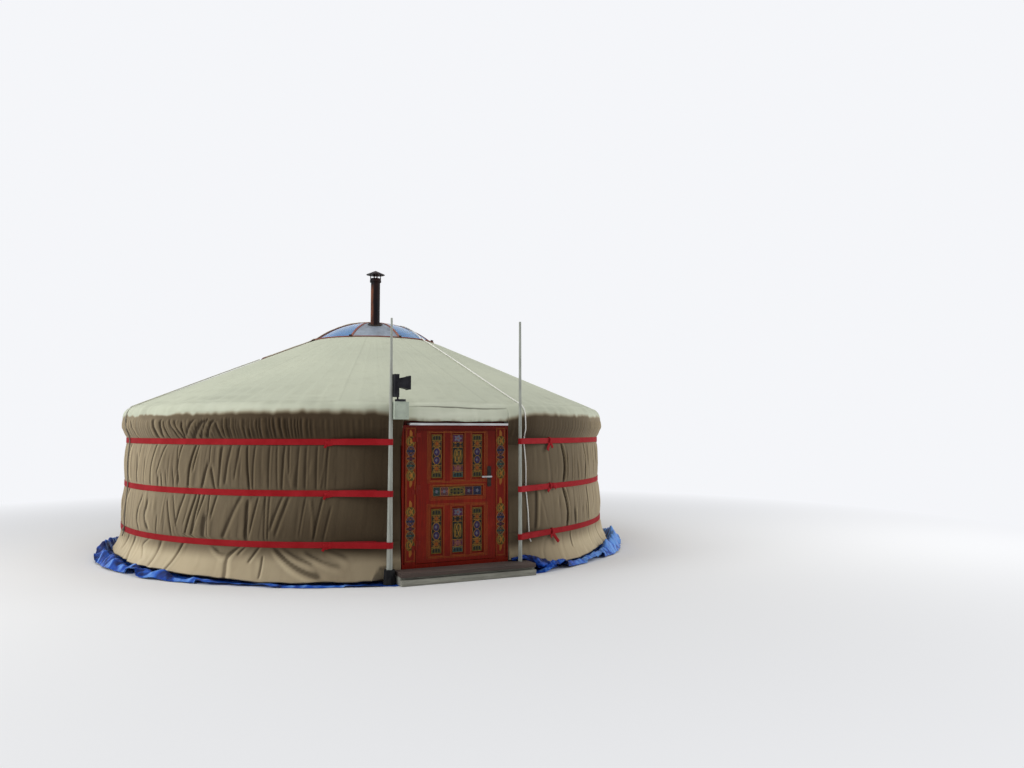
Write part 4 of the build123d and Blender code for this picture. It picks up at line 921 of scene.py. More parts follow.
def roofLift(azimuth, travel):
    # how far the cloth stands off the cone: poles, slow waves, drapes near the eave, wrinkles at the door;
    # and a crease value: painted highlights where the cloth stands out, painted shade where it sinks
    arc = azimuth * 3.1
    ridge = np.cos(azimuth * roof["poles"]) ** 8
    nearEave = smoothStep(travel, slopeLength - 0.55, slopeLength)
    drape = latticeNoise(arc / 0.16 + 0.3 * latticeNoise(arc, travel, 41), travel / 0.5, 53)
    level = latticeNoise(arc / 0.5, travel / 0.05 + 0.6 * np.sin(arc * 2.1), 55)
    overDoor = bell(signedTurn(azimuth), 1, 10.0) * smoothStep(travel, slopeLength - 0.26, slopeLength - 0.02)
    lift = 0.0042 + 0.0022 * ridge + 0.0022 * latticeNoise(arc / 0.7, travel / 0.9, 56)
    lift = lift + nearEave * (0.003 + 0.0035 * drape) + 0.011 * overDoor * np.clip(level, -0.2, 1)
    across = latticeNoise(arc / 0.9, travel / 0.045 + 0.8 * np.sin(arc * 1.3), 57)
    across = across * smoothStep(travel, 1.5, slopeLength)
    # painted highlights on drapes, poles and door wrinkles, painted shade in the dips across the slope
    crease = -drape * nearEave * 0.12 - 0.10 * ridge - 0.45 * overDoor * level + 0.16 * across
    return np.maximum(lift - 0.0016 * across, 0.0026), np.clip(crease, -0.4, 0.6)


def atSeam(azimuth):
    # 1 at the first edge of a half, which laps over the other, falling to 0 within 2% of its width
    across = (azimuth - azimuth[:, :1]) / (azimuth[:, -1:] - azimuth[:, :1])
    return np.clip(1 - across / 0.02, 0, 1)


def roofSheet(name, start):
    # half of the cone: plain rows down the slope, lifted by roofLift, with a seam every 30 degrees
    azimuth = np.radians(np.linspace(start, start + roof["half"], roof["columns"]))[None, :]
    travel = (slopeLength - roof["join"] + 0.012) * np.linspace(0, 1, roof["rows"])[:, None]
    azimuth, travel = azimuth + 0 * travel, travel + 0 * azimuth
    lift, crease = roofLift(azimuth, travel)
    lift = lift * smoothStep(travel, -0.02, 0.10) + 0.0006 + 0.0020 * atSeam(azimuth)
    radius, height = roofPlace(travel, lift)
    seamLine = np.abs((np.degrees(azimuth) + 7.5) % 30 - 15) * math.pi / 180 * radius
    crease = np.maximum(crease, 0.09 * (seamLine < 0.010))
    uv = np.stack([azimuth * radius, travel], -1)
    plain = np.zeros(crease.shape)
    return buildPiece(name, [{"points": onPlan(radius, azimuth, height), "uv": uv, "flip": True}],
                      finishes["roof_cloth"],
                      attributes={"crease": crease, "side": plain, "shade": plain})


def eavePleats(azimuth, level, gap):
    # pleats and drawn creases under the eave, as how far they stand out, how far the creases are cut,
    # and how much of the cloth is gathered at each level
    place, turn = azimuth * 3.08, signedTurn(azimuth)
    top, gathered = wall["belts"][2] + wall["beltHalf"], roof["gathered"]
    lean = 0.10 * latticeNoise(place / 0.3, 0.5, 87) + 0.30 * bell(turn, -62, 9)
    along = place - lean * np.sin(place * 4.4) * (level - 1.49)
    pleats = scallops(along, level / 0.12, 81, 0.046, 0.0175, 2.2)
    pleats = pleats + scallops(along, level / 0.08, 83, 0.027, 0.0050, 1.3)
    begin = 1.630 + 0.020 * latticeNoise(place / 0.13, 0.5, 85)
    grow = 1 - smoothStep(level, begin - 0.055, begin)
    pinch = 0.35 + 0.65 * smoothStep(gap, 0.0, 0.045)
    share = (level - top) / (gathered - top)
    drawn = drawnCreases(np.radians(turn) * wall["round"], share, gathered - top, creases["top"])
    swell = 0.011 * smoothStep(-turn, 42, 50) * smoothStep(turn, -84, -76)
    offset = pleats * np.interp(turn, *roundWall["eaveCalm"]) + drawn + swell
    return np.maximum(offset, 0) * grow * pinch, drawn, grow


def eaveShade(place, turn, travel):
    # painted shade: 0 on the pale cloth, 1 below the uneven edge where the cloth turns down under the eave
    edge = slopeLength + arcLength + 0.004 * np.sin(place * 9)
    edge = edge + 0.006 * latticeNoise(place / 0.09, 0 * place, 88)
    edge = edge + 0.105 * bell(turn, 1, 12.5, 4) + 0.010 * latticeNoise(place / 0.05, 0 * place, 90)
    return smoothStep(travel, edge - np.interp(turn, *roundWall["stain"]), edge + 0.008)


def roofSkirt(name, start):
    # the strip that rounds the eave and hangs, gathered, to the top belt; a short hem over the door
    high, half, seat = wall["belts"][2], wall["beltHalf"], wall["seats"][2]
    azimuth = np.radians(np.linspace(start, start + roof["half"], wall["columns"]))[None, :]
    lowest = slopeLength + arcLength + arcHeight - (high - half - 0.0085)
    hem = roof["doorHem"] + 0.007 * latticeNoise(azimuth * 26, 0 * azimuth, 89)
    doorEnd = slopeLength + arcLength + arcHeight - hem
    rows = rowHeights([(0.0, 0), (0.38, 10), (1.0, 25)])[:, None]
    x = 3.068 * np.sin(azimuth)
    overDoor = (x > roof["overDoor"][0]) & (x < roof["overDoor"][1]) & (np.cos(azimuth) > 0)
    first = slopeLength - roof["join"]
    travel = first + (np.where(overDoor, doorEnd, lowest) - first) * rows
    azimuth = azimuth + 0 * travel
    place, turn = azimuth * 3.08, signedTurn(azimuth)
    lift, soft = roofLift(azimuth, travel)
    base, level = roofPlace(travel, 0 * travel)
    gap = np.abs(level - high) - half
    offset, drawn, grow = eavePleats(azimuth, level, gap)
    lift = 0.0014 + (lift - 0.0014) * smoothStep(level, 1.42, 1.56) + offset + 0.0016 * atSeam(azimuth)
    # one long wrinkle lies across the cloth over the door
    wrinkle = bell(travel - slopeLength - 0.45 * arcLength, 0.010 * np.sin(place * 5), 0.009)
    wrinkle = wrinkle * bell(turn, 1, 10.5, 6)
    lift = np.maximum(lift - 0.004 * wrinkle, 0.0008)
    lift[:2] -= 0.0006
    radius, height = roofPlace(travel, lift)
    radius = np.where(level < 1.60, base + lift, radius)
    height = np.where(level < 1.60, level, height)
    radius = np.where(gap < 0.004, np.minimum(radius, seat + 0.0001), radius)
    radius = np.where(level < high - half - 0.003, seat + 0.0028, radius)
    radius = keepOffPoles(radius, azimuth, height)
    points = onPlan(radius, azimuth, height)
    turnedUnder = onPlan(radius[-2] - 0.006, azimuth[-2], height[-2] + 0.006)
    points[-1] = np.where(overDoor[..., None], turnedUnder, points[-1:])[0]
    # crease: painted shade and highlights on the pleats, painted light on the flat cloth over the door,
    # painted shade in its long wrinkle
    flat = bell(turn, 1, 11.0, 6) * smoothStep(travel, slopeLength - 0.02, slopeLength + 0.06)
    crease = foldTone(offset, drawn * grow) * grow + (soft - 0.95 * flat + 1.5 * wrinkle) * (1 - grow)
    # painted shade: the strip that turns down takes the side colour and the wall's shade, a little darker
    side = eaveShade(place, turn, travel)
    shade = side * np.clip(np.interp(turn, *roundWall["shade"]) + 0.13, 0, 1)
    return buildPiece(name, [{"points": points, "uv": np.stack([place, travel], -1), "flip": True}],
                      finishes["roof_cloth"],
                      attributes={"crease": np.clip(crease, -1, 1), "side": side, "shade": shade})


rightRoof = roofSheet("roof_canvas_right", roof["seam"] - 180)
leftRoof = roofSheet("roof_canvas_left", roof["seam"])
rightSkirt = roofSkirt("roof_skirt_right", roof["seam"] - 180)
leftSkirt = roofSkirt("roof_skirt_left", roof["seam"])
# half a cone unrolls to a ring sector of 167 degrees; the strip sewn to it hangs, gathered, to the belt
print("roof canvas made")

ground = {
    "start": 2.55,
    "edge": 3.285,
    "cut": 3.202,            # the step's front stops the sheet here
    "rows": 34,
    "columns": 1100,
    "crumple": 0.048,
    "lowest": 0.0015,
    "roll": 3.235,           # radius of the bunched roll at the left and the right
}


def crumpled(x, y, seed):
    # sum of triangle waves in many directions, each bent by slow noise: flat facets that meet in hard lines
    generator = np.random.default_rng(seed)
    total, crest = np.zeros(x.shape), np.zeros(x.shape)
    for pitch in (2.3, 3.4, 5.1, 7.6, 11.0, 16.0):
        angle, phase = generator.uniform(0, math.pi), generator.uniform(0, 1)
        bend = 0.35 * latticeNoise(x * 2.2 + phase * 9, y * 2.2, seed + int(pitch * 10))
        wave = np.abs(((x * math.cos(angle) + y * math.sin(angle)) * pitch + phase + bend) % 1 - 0.5) * 2
        total += wave / pitch**0.8
        crest = np.maximum(crest, smoothStep(wave, 0.86, 1.0) * (0.4 + 0.6 * generator.random()))
    return total / 0.75, crest


def groundSheet():
    # flat under the floor, crumpled outside the wall: height = strength x facets, with a roll at two sides
    rows, columns = ground["rows"], ground["columns"]
    azimuth = np.linspace(0, 2 * math.pi, columns, endpoint=False)[None, :] + np.zeros((rows, 1))
    turn = np.degrees(azimuth)
    turn = np.where(turn > 180, turn - 360, turn)
    east, north = np.cos(azimuth), np.sin(azimuth)
    uneven = latticeNoise(east * 7 + 40, north * 7 + 40, 61) * 0.032
    uneven += latticeNoise(east * 26 + 60, north * 26 + 60, 62) * 0.018
    leftSide, rightSide = bell(turn, -88, 26), bell(turn, 52, 20)
    besideStep, frontLeft, cornerLeft = bell(turn, 20, 5.0), bell(turn, -33, 16), bell(turn, -66, 16)
    edge = ground["edge"] + uneven + 0.050 * leftSide + 0.060 * rightSide
    edge = edge + 0.02 * besideStep - 0.045 * frontLeft
    away = smoothStep(np.abs(turn - 1.3), 15.0, 18.5)
    edge = np.where(away < 1, np.minimum(edge, ground["cut"] / np.cos(azimuth) + 0.5 * away), edge)
    share = np.linspace(0, 1, rows)[:, None]
    # half of the width takes the first 12% of the rows, under the floor
    share = np.where(share < 0.12, share * 4.2, 0.504 + (share - 0.12) * 0.496 / 0.88)
    radius = ground["start"] + (edge - ground["start"]) * share
    x, y = radius * np.sin(azimuth), -radius * np.cos(azimuth)
    facets, crest = crumpled(x, y, 63)
    outside = smoothStep(radius, 3.165, 3.235)
    inside = 0.30 * smoothStep(radius, 3.02, 3.10) * (1 - outside)
    strength = 0.60 + 0.45 * latticeNoise(east * 3 + 20, north * 3 + 20, 64)
    strength = strength + 0.40 * rightSide + 0.30 * leftSide
    strength = strength + 0.8 * cornerLeft + 0.5 * besideStep - 0.25 * frontLeft
    height = away * (outside + inside) * np.clip(strength, 0.15, 1.45) * ground["crumple"] * facets
    height = ground["lowest"] + height
    # the bunched roll at the far left and along the right
    roll = 0.066 * bell(turn, -90, 18) + 0.078 * bell(turn, 58, 20)
    height += roll * bell(radius, ground["roll"], 0.050) * (0.50 + 0.6 * facets)
    under = radius < wall["hemRadius"] - 0.03
    height = np.where(under, np.minimum(height, 0.016), height)
    lip = smoothStep(share, 0.93, 1.0) * away
    height = height * (1 - 0.75 * lip * (latticeNoise(east * 9, north * 9, 65) > 0))
    # crease: painted shade in the valleys, painted highlights on the crests, painted light and shade by the
    # slope, random fine tone, painted shadow beside the step and the left pole
    fine = latticeNoise(x / 0.045, y / 0.045, 67) * latticeNoise(x / 0.11, y / 0.11, 68)
    slope = (np.roll(height, -1, 1) - np.roll(height, 1, 1)) / (2 * 2 * math.pi * radius / columns)
    tone = np.where(facets < 0.46, -smoothStep(0.46 - facets, 0.0, 0.18), crest * outside)
    tone = tone + np.clip(slope * 3.2, -1, 0.7)
    tone = tone + 1.6 * fine * outside * (0.35 + 0.65 * rightSide)
    tone = tone - 0.9 * besideStep - 0.5 * bell(turn, -14, 5)
    part = {"points": np.stack([x, y, height], -1), "uv": np.stack([azimuth * 3.2, radius], -1), "wrap": True,
            "capLow": True, "flip": True}
    return buildPiece("blue_groundsheet", [part], finishes["blue_sheet"],
                      attributes={"crease": np.clip(tone, -1, 1)})


# the sheet's corner, bunched up beside the step's end: degrees, radius, height and half thickness along it
bunch = {
    "turns": (11.7, 12.9, 14.2, 15.8, 17.5, 19.5, 21.5),
    "radii": (3.102, 3.108, 3.128, 3.165, 3.200, 3.215, 3.225),
    "heights": (0.142, 0.144, 0.148, 0.132, 0.078, 0.050, 0.030),
    "sizes": (0.014, 0.019, 0.027, 0.038, 0.043, 0.036, 0.012),
    "rows": 90,
    "columns": 28,
}


def sheetBunch():
    # a tube whose radius is creased by noise: r = size (1 + 0.22 |noise| - 0.16 cos(3 a + 30 s))
    rows, columns = bunch["rows"], bunch["columns"]
    path, length = alongPath(onPlan(bunch["radii"], np.radians(bunch["turns"]), bunch["heights"]), rows)
    size = np.interp(np.linspace(0, 1, rows), np.linspace(0, 1, len(bunch["sizes"])), bunch["sizes"])[:, None]
    angle = np.linspace(0, 2 * math.pi, columns, endpoint=False)[None, :]
    travel = np.linspace(0, length, rows)[:, None]
    rough = latticeNoise(travel / 0.05, 3 * np.cos(angle) + 9, 69)
    rough = rough + latticeNoise(travel / 0.02, 3 * np.sin(angle) + 9, 70)
    reach = size * (1 + 0.22 * np.abs(rough) - 0.16 * np.cos(3 * angle + 30 * travel))
    points = sweepProfile(path, ringOutline(angle, reach), (0, 0, 1))
    points[..., 2] = np.maximum(points[..., 2], 0.003)
    # painted shade: dark near the step's end, lighter further along, with random tone
    tone = np.clip(0.7 * rough - 0.95 + 0.8 * smoothStep(travel, 0.35, 0.55), -1, 1)
    buildPiece("blue_bunch", [{"points": points, "wrap": True, "caps": True, "flip": True}],
               finishes["blue_sheet"], attributes={"crease": tone})


blueSheet = groundSheet()
sheetBunch()
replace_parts(blueSheet, "groundsheet")
print("groundsheet made")

flap = {"corner": 1.50, "tip": 0.985, "rows": 61, "columns": 150, "rise": 0.011, "band": 0.030}
dome = {"radius": 1.30110, "centre": 1.65390}


def onDome(radius, lift):
    # height of a point at this distance from the middle, lifted off the dome
    return dome["centre"] + np.sqrt(np.maximum((dome["radius"] + lift) ** 2 - radius**2, 0))


def flapBed(radius):
    # height of what the flap lies on: the dome with its trim, a drop past the rim, then the roof canvas
    rim, past = 0.795, 0.900
    reach = np.array([rim, 0.818, 0.835, 0.860, past])
    drop = np.array([2.6940, 2.6965, 2.6880, onSlope(0.860) + 0.0145, onSlope(past) + 0.0105])
    outside = np.where(radius < past, np.interp(radius, reach, drop), onSlope(radius) + 0.0105)
    return np.where(radius < rim, onDome(radius, 0.0085), outside)


def crownFlap():
    # a square folded on its diagonal: the fold lies on the line y = 0, its corner points backwards
    rows, columns = flap["rows"], flap["columns"]
    across = np.linspace(-1, 1, columns)[None, :] + np.zeros((rows, 1))
    fold = np.linspace(-1, 1, rows)[:, None] + np.zeros((1, columns))
    back = np.abs(fold) ** 1.15 * flap["tip"]
    x = across * flap["corner"] * (1 - back)
    y = flap["corner"] * back + 0.004
    radius = np.hypot(x, y)
    offEdge = np.minimum(y, (flap["corner"] - np.abs(x) - y) / math.sqrt(2))
    top = (fold > 0) * 1.0
    pull = latticeNoise(np.degrees(np.arctan2(y + 0.4, x)) / 9.0, radius / 0.8, 71)
    rumple = latticeNoise(x / 0.10, y / 0.16, 72)
    ease = smoothStep(offEdge, 0.0, 0.10)
    wrinkle = 0.010 * np.clip(pull, -0.4, 1) + 0.006 * np.abs(rumple)
    lift = top * (flap["rise"] + (0.35 + 0.65 * ease) * wrinkle) + (1 - top) * 0.0012 * (1 + rumple) * ease
    lift = lift + top * 0.010 * bell(y, 0, 0.030) * (1 + 0.6 * latticeNoise(x / 0.13, 0 * x, 73))
    # the two layers meet in a rounded fold
    turnIn = np.clip(1 - np.abs(fold) / (2.0 / (rows - 1)), 0, 1)
    height = flapBed(radius) + lift * (1 - 0.45 * turnIn)
    y = y - 0.006 * turnIn
    band = 1 - smoothStep(offEdge, flap["band"] - 0.004, flap["band"] + 0.002)
    part = {"points": np.stack([x, y, height], -1), "uv": np.stack([x, y + 2 * top], -1)}
    # crease: painted shade where the cloth sinks between its wrinkles
    return buildPiece("flap_cloth", [part], finishes["flap_cloth"],
                      attributes={"crease": np.clip(-pull * 0.8, 0, 1), "band": band})


def flapFinish():
    # the crown's cloth with a red band along its edges
    finish = clothFinish("flap_cloth", (0.53, 0.53, 0.42), (0.46, 0.47, 0.37), (0.37, 0.35, 0.26))
    tree, shader, tone = openFinish(finish)
    banded = mixColour(tree, attributeValue(tree, "band"), tone, (0.16, 0.040, 0.028))
    linkShader(tree, shader, Base_Color=banded)
    return finish


finishes["flap_cloth"] = flapFinish()
flapCloth = crownFlap()
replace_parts(flapCloth, "crown_flap")
print("flap made")


rope = {"radius": 0.0065, "lobes": 3, "pitch": 0.045, "step": 0.0060, "sides": 12, "knot": 0.016}


def ropeParts(points):
    # a round rope with three lobes that turn along it: r = R (1 + 0.14 cos 3(a - 2 pi s / pitch))
    _, length = alongPath(points, 10)
    path, _ = alongPath(points, max(8, int(length / rope["step"])))
    travel = np.linspace(0, length, len(path))[:, None]
    tangent = np.gradient(path, axis=0)
    upright = np.abs(tangent[:, 2]).mean() >= 0.7 * np.linalg.norm(tangent, axis=1).mean()
    angle = np.linspace(0, 2 * math.pi, rope["sides"], endpoint=False)[None, :]
    twist = angle - 2 * math.pi * travel / rope["pitch"]
    reach = rope["radius"] * (1 + 0.14 * np.cos(rope["lobes"] * twist))
    points = sweepProfile(path, ringOutline(angle, reach), (1, 0.2, 0) if upright else (0.3, 0.2, 1))
    uv = np.stack([angle * rope["radius"] + 0 * travel, travel + 0 * angle], -1)
    return {"points": points, "wrap": True, "caps": True, "uv": uv, "flip": True}


def knotParts(place, size, direction, tilt):
    # overhand knot: a small trefoil of rope, squashed flat against the cloth:
    # (sin t + 2 sin 2t, cos t - 2 cos 2t, -0.7 sin 3t)
    t = np.linspace(0, 2 * math.pi, 40)
    loop = np.stack([np.sin(t) + 2 * np.sin(2 * t), np.cos(t) - 2 * np.cos(2 * t), -0.7 * np.sin(3 * t)], -1)
    outward = np.asarray(direction, float) / np.linalg.norm(direction)
    across = np.cross(outward, (0, 0, 1.0))
    across /= np.linalg.norm(across)
    up = np.cross(across, outward)
    scaled = loop * size / 3.0
    path = np.asarray(place) + scaled[:, :1] * across + scaled[:, 1:2] * up + scaled[:, 2:] * outward
    angle = np.linspace(0, 2 * math.pi, 10, endpoint=False)
    points = sweepProfile(path, ringOutline(angle, rope["radius"]), tuple(outward + tilt))
    return {"points": points, "wrap": True, "caps": True, "flip": True}


def ropeFall(start, end):
    # down the wall: taut from the eave to the bottom belt
    heights = np.array([1.600, 1.500, 1.372, 1.12, 0.870, 0.62, 0.375, 0.300])
    radii = np.array([3.088, 3.078, 3.0400, 3.0560, 3.0480, 3.0680, 3.0740, 3.0900])
    turn = np.radians(np.linspace(start, end, len(heights)))
    return onPlan(radii, turn, heights)


def overEave(azimuth):
    # round the eave on the canvas: an arc from the slope to the upright
    angle = roofAngle + np.radians([0, 16, 32, 48, 62])
    reach = roof["rounding"] + rope["radius"] + 0.0125
    return onPlan(arcMiddle + reach * np.sin(angle), math.radians(azimuth), arcHeight + reach * np.cos(angle))


def roofRun(startRadius, startAzimuth, endRadius, endAzimuth, count):
    # straight line on the unrolled cone between two of its points, where angles shrink by the slope's cosine
    squeeze = math.cos(roofAngle)
    ends = []
    for radius, azimuth in ((startRadius, startAzimuth), (endRadius, endAzimuth)):
        angle = math.radians(azimuth) * squeeze
        ends.append(radius * np.array([math.cos(angle), math.sin(angle)]))
    flat = ends[0] + (ends[1] - ends[0]) * np.linspace(0, 1, count)[:-1, None]
    radius, azimuth = np.hypot(flat[:, 0], flat[:, 1]), np.arctan2(flat[:, 1], flat[:, 0]) / squeeze
    return onPlan(radius, azimuth, onSlope(radius) + (rope["radius"] + 0.0115) / squeeze)


# places as (radius, degrees from the door); the last two are degrees at the eave and at the foot
frontRope = {"start": (0.300, 80.0), "rim": (0.795, 33.9), "edge": (0.822, 33.4), "edgeHeight": 2.7015,
             "landing": (0.880, 31.7), "eave": 15.4, "end": 16.8}
# degrees at the start and at the eave
cornerRopes = {"left": (-90, -80), "right": (90, 90), "rear": (180, 180)}
cornerStart = 1.512   # radius of the flap's corners


def levelPoint(radius, degrees, height=0.0):
    # onPlan, with the azimuth in degrees
    return onPlan(radius, math.radians(degrees), height)


def frontRopePoints():
    # straight over the dome and its rim, straight down the unrolled roof, round the eave and down the wall
    first, last = levelPoint(*frontRope["start"]), levelPoint(*frontRope["rim"])
    run = first + (last - first) * np.linspace(0, 1, 7)[:, None]
    run[:, 2] = onDome(np.hypot(run[:, 0], run[:, 1]), 0.0145)
    rim = levelPoint(*frontRope["edge"], frontRope["edgeHeight"])[None]
    eave, end = frontRope["eave"], frontRope["end"]
    slope = roofRun(*frontRope["landing"], arcMiddle, eave, 8)
    return np.vstack([run, rim, slope, overEave(eave), ropeFall(eave, end)])


def cornerRopePoints(azimuth, eaveAzimuth):
    # from the flap's corner down the unrolled roof, round the eave and down the wall
    slope = roofRun(cornerStart, azimuth, arcMiddle, eaveAzimuth, 6)
    return np.vstack([slope, overEave(eaveAzimuth), ropeFall(eaveAzimuth, eaveAzimuth)])


def makeRope(name, points, node, finish):
    # the rope with a knot just above its end
    out = points[-2] * (1, 1, 0)
    knotPlace = points[-2] + 0.006 * out / np.linalg.norm(out)
    parts = [ropeParts(points), knotParts(knotPlace, rope["knot"], out, 0.01)]
    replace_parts(buildPiece(name, parts, finishes[finish]), node)


makeRope("rope_front", frontRopePoints(), "front_rope", "rope_white")
for label, turns in cornerRopes.items():
    makeRope("rope_" + label, cornerRopePoints(*turns), label + "_rope", "rope_grey")
print("ropes made")

strap = {
    "thickness": 0.0042,
    "right": 23.5,   # degrees of the knots on the right of the door
    # tails as (azimuth, height and distance from the belt), for the low, middle and high belt
    "tails": (
        (((23.6, -0.012, 0.010), (24.0, -0.045, 0.022), (24.5, -0.085, 0.034), (24.9, -0.118, 0.046)),
         ((23.3, -0.012, 0.008), (23.1, -0.040, 0.020), (22.8, -0.062, 0.028))),
        (((23.6, 0.006, 0.014), (24.3, 0.016, 0.026), (25.0, -0.010, 0.028), (25.3, -0.030, 0.024)),
         ((23.3, -0.010, 0.012), (22.9, -0.035, 0.022), (22.4, -0.055, 0.024))),
        (((23.3, -0.012, 0.014), (23.2, -0.040, 0.022), (22.7, -0.075, 0.026), (22.4, -0.105, 0.034)),
         ((23.6, -0.010, 0.018), (23.8, -0.045, 0.028), (24.0, -0.080, 0.036))),
    ),
    "tailWidths": (0.042, 0.034),
    # on the left each belt runs double for a short way and ends in a narrow tip
    "double": ((-24.6, -0.020, 0.007), (-23.8, -0.012, 0.008), (-22.0, 0.003, 0.0065), (-19.0, 0.006, 0.006),
               (-15.2, 0.006, 0.006)),
    "tip": ((-24.3, -0.020, 0.008), (-24.6, -0.040, 0.013), (-24.75, -0.058, 0.016)),
}


def strapOutline(width, thickness):
    # flat strap with rounded edges: half circles joined by straight sides
    half = width / 2 - thickness / 2
    end = np.linspace(-math.pi / 2, math.pi / 2, 5)
    right = np.stack([half + thickness / 2 * np.cos(end), thickness / 2 * np.sin(end)], -1)
    return np.vstack([right, -right])


def wallStrap(places, height, reach, width, count=22):
    # a strap through places (azimuth, height and distance from the belt), flat against the wall
    places = np.array(places) + (0, height, reach)
    path, _ = alongPath(onPlan(places[:, 2], np.radians(places[:, 0]), places[:, 1]), count)
    points = sweepProfile(path, strapOutline(width, strap["thickness"]), path * (1, 1, 0))
    return {"points": points, "wrap": True, "caps": True, "flip": True}


def beltWrap(azimuth, height, reach, tall, shadeTone, width):
    # a closed turn of strap round the belt, seen end on as an oval: (deep cos t, tall sin t)
    t = np.linspace(0, 2 * math.pi, 28)
    turn = math.radians(azimuth)
    out, along = np.array([math.sin(turn), -math.cos(turn), 0]), np.array([math.cos(turn), math.sin(turn), 0])
    up = np.array([0, 0, 1.0])
    path = onPlan(reach, turn, height) + np.outer(shadeTone * np.cos(t), out) + np.outer(tall * np.sin(t), up)
    path = path + np.outer(0.004 * np.sin(2 * t), along)
    normal = np.cos(t)[:, None] * out + np.sin(t)[:, None] * up
    outline = strapOutline(width, strap["thickness"])
    across = outline[None, :, :1] * (1 - 0.35 * np.abs(np.sin(t)))[:, None, None]
    points = path[:, None] + along * across + normal[:, None] * outline[None, :, 1:]
    return {"points": points, "wrap": True, "flip": True}


def beltKnots():
    # each belt has a double turn with two tails on the right, and a doubled end on the left
    knotsRight, knotsLeft = [], []
    for height, seat, runs in zip(wall["belts"], wall["seats"], strap["tails"]):
        reach = seat + 0.006
        knotsRight.append(beltWrap(strap["right"], height, reach + 0.006, 0.037, 0.017, 0.044))
        knotsRight.append(beltWrap(strap["right"], height + 0.002, reach + 0.011, 0.026, 0.019, 0.030))
        for run, width in zip(runs, strap["tailWidths"]):
            knotsRight.append(wallStrap(run, height, reach, width))
        knotsLeft.append(wallStrap(strap["double"], height, reach, 0.054, 30))
        knotsLeft.append(wallStrap(strap["tip"], height, reach, 0.026, 10))
    for side, knots in (("right", knotsRight), ("left", knotsLeft)):
        buildPiece("belt_knots_" + side, knots, finishes["belt_red"])


beltKnots()


def rimTies():
    # a dark tie at the foot of each of the crown's front ribs
    parts = []
    for turn in (-37.5, 7.5, 52.5):
        place = levelPoint(0.824, turn, 2.697)
        parts.append(knotParts(place, 0.015, place * (0.4, 0.4, 0) + (0, 0, 1), 0.02))
    buildPiece("rim_ties", parts, finishes["plate_dark"])


flange = {
    "reach": (0.075, 0.095, 0.0975, 0.098, 0.0975, 0.094, 0.075),
    "rise": (0.0008, 0.0008, 0.0015, 0.0060, 0.0100, 0.0125, 0.0150),
}


def pipeFlange():
    # black ring that lies on the dome round the chimney: the height of each point is the dome's plus a rise
    low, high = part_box("chimney_pipe")
    reach, rise = np.array(flange["reach"])[None, :], np.array(flange["rise"])[None, :]
    angle = np.linspace(0, 2 * math.pi, 72, endpoint=False)[:, None]
    x, y = (low[0] + high[0]) / 2 + reach * np.cos(angle), (low[1] + high[1]) / 2 + reach * np.sin(angle)
    points = np.stack([x, y, onDome(np.hypot(x, y), 0) + rise], -1)
    buildPiece("pipe_flange", [{"points": points, "wrap": True, "loop": True, "flip": True}],
               finishes["plate_dark"], sharp=40)


def slab(low, high):
    # box between two corners
    (left, front, bottom), (right, back, top) = low, high
    ring = [(left, front), (right, front), (right, back), (left, back)]
    return {"points": [[(x, y, z) for x, y in ring] for z in (bottom, top)], "wrap": True, "caps": True}


def stud(x, y, z, radius, rise):
    # round screw head that stands out towards -Y
    angle = np.linspace(0, 2 * math.pi, 12, endpoint=False)
    ring = np.stack([x + radius * np.cos(angle), 0 * angle, z + radius * np.sin(angle)], -1)
    return {"points": [ring + (0, y, 0), ring + (0, y - rise, 0)], "wrap": True, "caps": True}


lamp = {
    "driver": 0.050,
    "hood": 1.953,     # height of the hood's middle
    "mouth": 0.0655,   # half widths
    "pane": 0.0512,
    "fin": 0.049,
    "fins": (1.845, 2.016, 0.020),   # first height, last height and step
    "finThickness": 0.005,
}


def lampParts():
    # cooling fins on the lamp's driver, a rim at its mouth and a pane inside it
    low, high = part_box("floodlight")
    middle, mouth = (low[1] + high[1]) / 2, high[0]
    wide, pane, level, thickness = lamp["mouth"], lamp["pane"], lamp["hood"], lamp["finThickness"]
    parts = []
    for z in np.arange(*lamp["fins"]):
        parts.append(slab((low[0] + thickness, middle - lamp["fin"], z),
                          (low[0] + lamp["driver"] - thickness, middle + lamp["fin"], z + thickness)))
    for side in (-1, 1):
        edge = sorted((side * (wide + 0.002), side * (wide - 0.004)))
        for across, up in ((edge, (-wide, wide)), ((-wide, wide), edge)):
            parts.append(slab((mouth - 0.012, middle + across[0], level + up[0]),
                              (mouth + 0.002, middle + across[1], level + up[1])))
    buildPiece("lamp_fins", parts, finishes["lamp_black"], smooth=False)
    glass = slab((mouth - 0.030, middle - pane, level - pane), (mouth - 0.027, middle + pane, level + pane))
    buildPiece("lamp_pane", [glass], finishes["lamp_glass"], smooth=False)


cover = {"low": 1.612, "high": 1.744, "screwInset": 0.010, "screw": (0.0042, 0.0022)}


def boxParts():
    # raised cover on the box's front, with a screw in each corner
    low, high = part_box("junction_box")
    face, left, right = low[1] + 0.0045, low[0] + 0.018, high[0] - 0.026
    plate = slab((left, face - 0.0035, cover["low"]), (right, face + 0.001, cover["high"]))
    buildPiece("box_cover", [plate], finishes["box_grey"], smooth=False)
    inset, screws = cover["screwInset"], []
    for x in (left + inset, right - inset):
        for z in (cover["low"] + inset, cover["high"] - inset):
            screws.append(stud(x, face - 0.0030, z, *cover["screw"]))
    buildPiece("box_screws", screws, finishes["lever_steel"], smooth=False)


rimTies()
pipeFlange()
lampParts()
boxParts()
print("belt knots, ties, flange and lamp parts made")

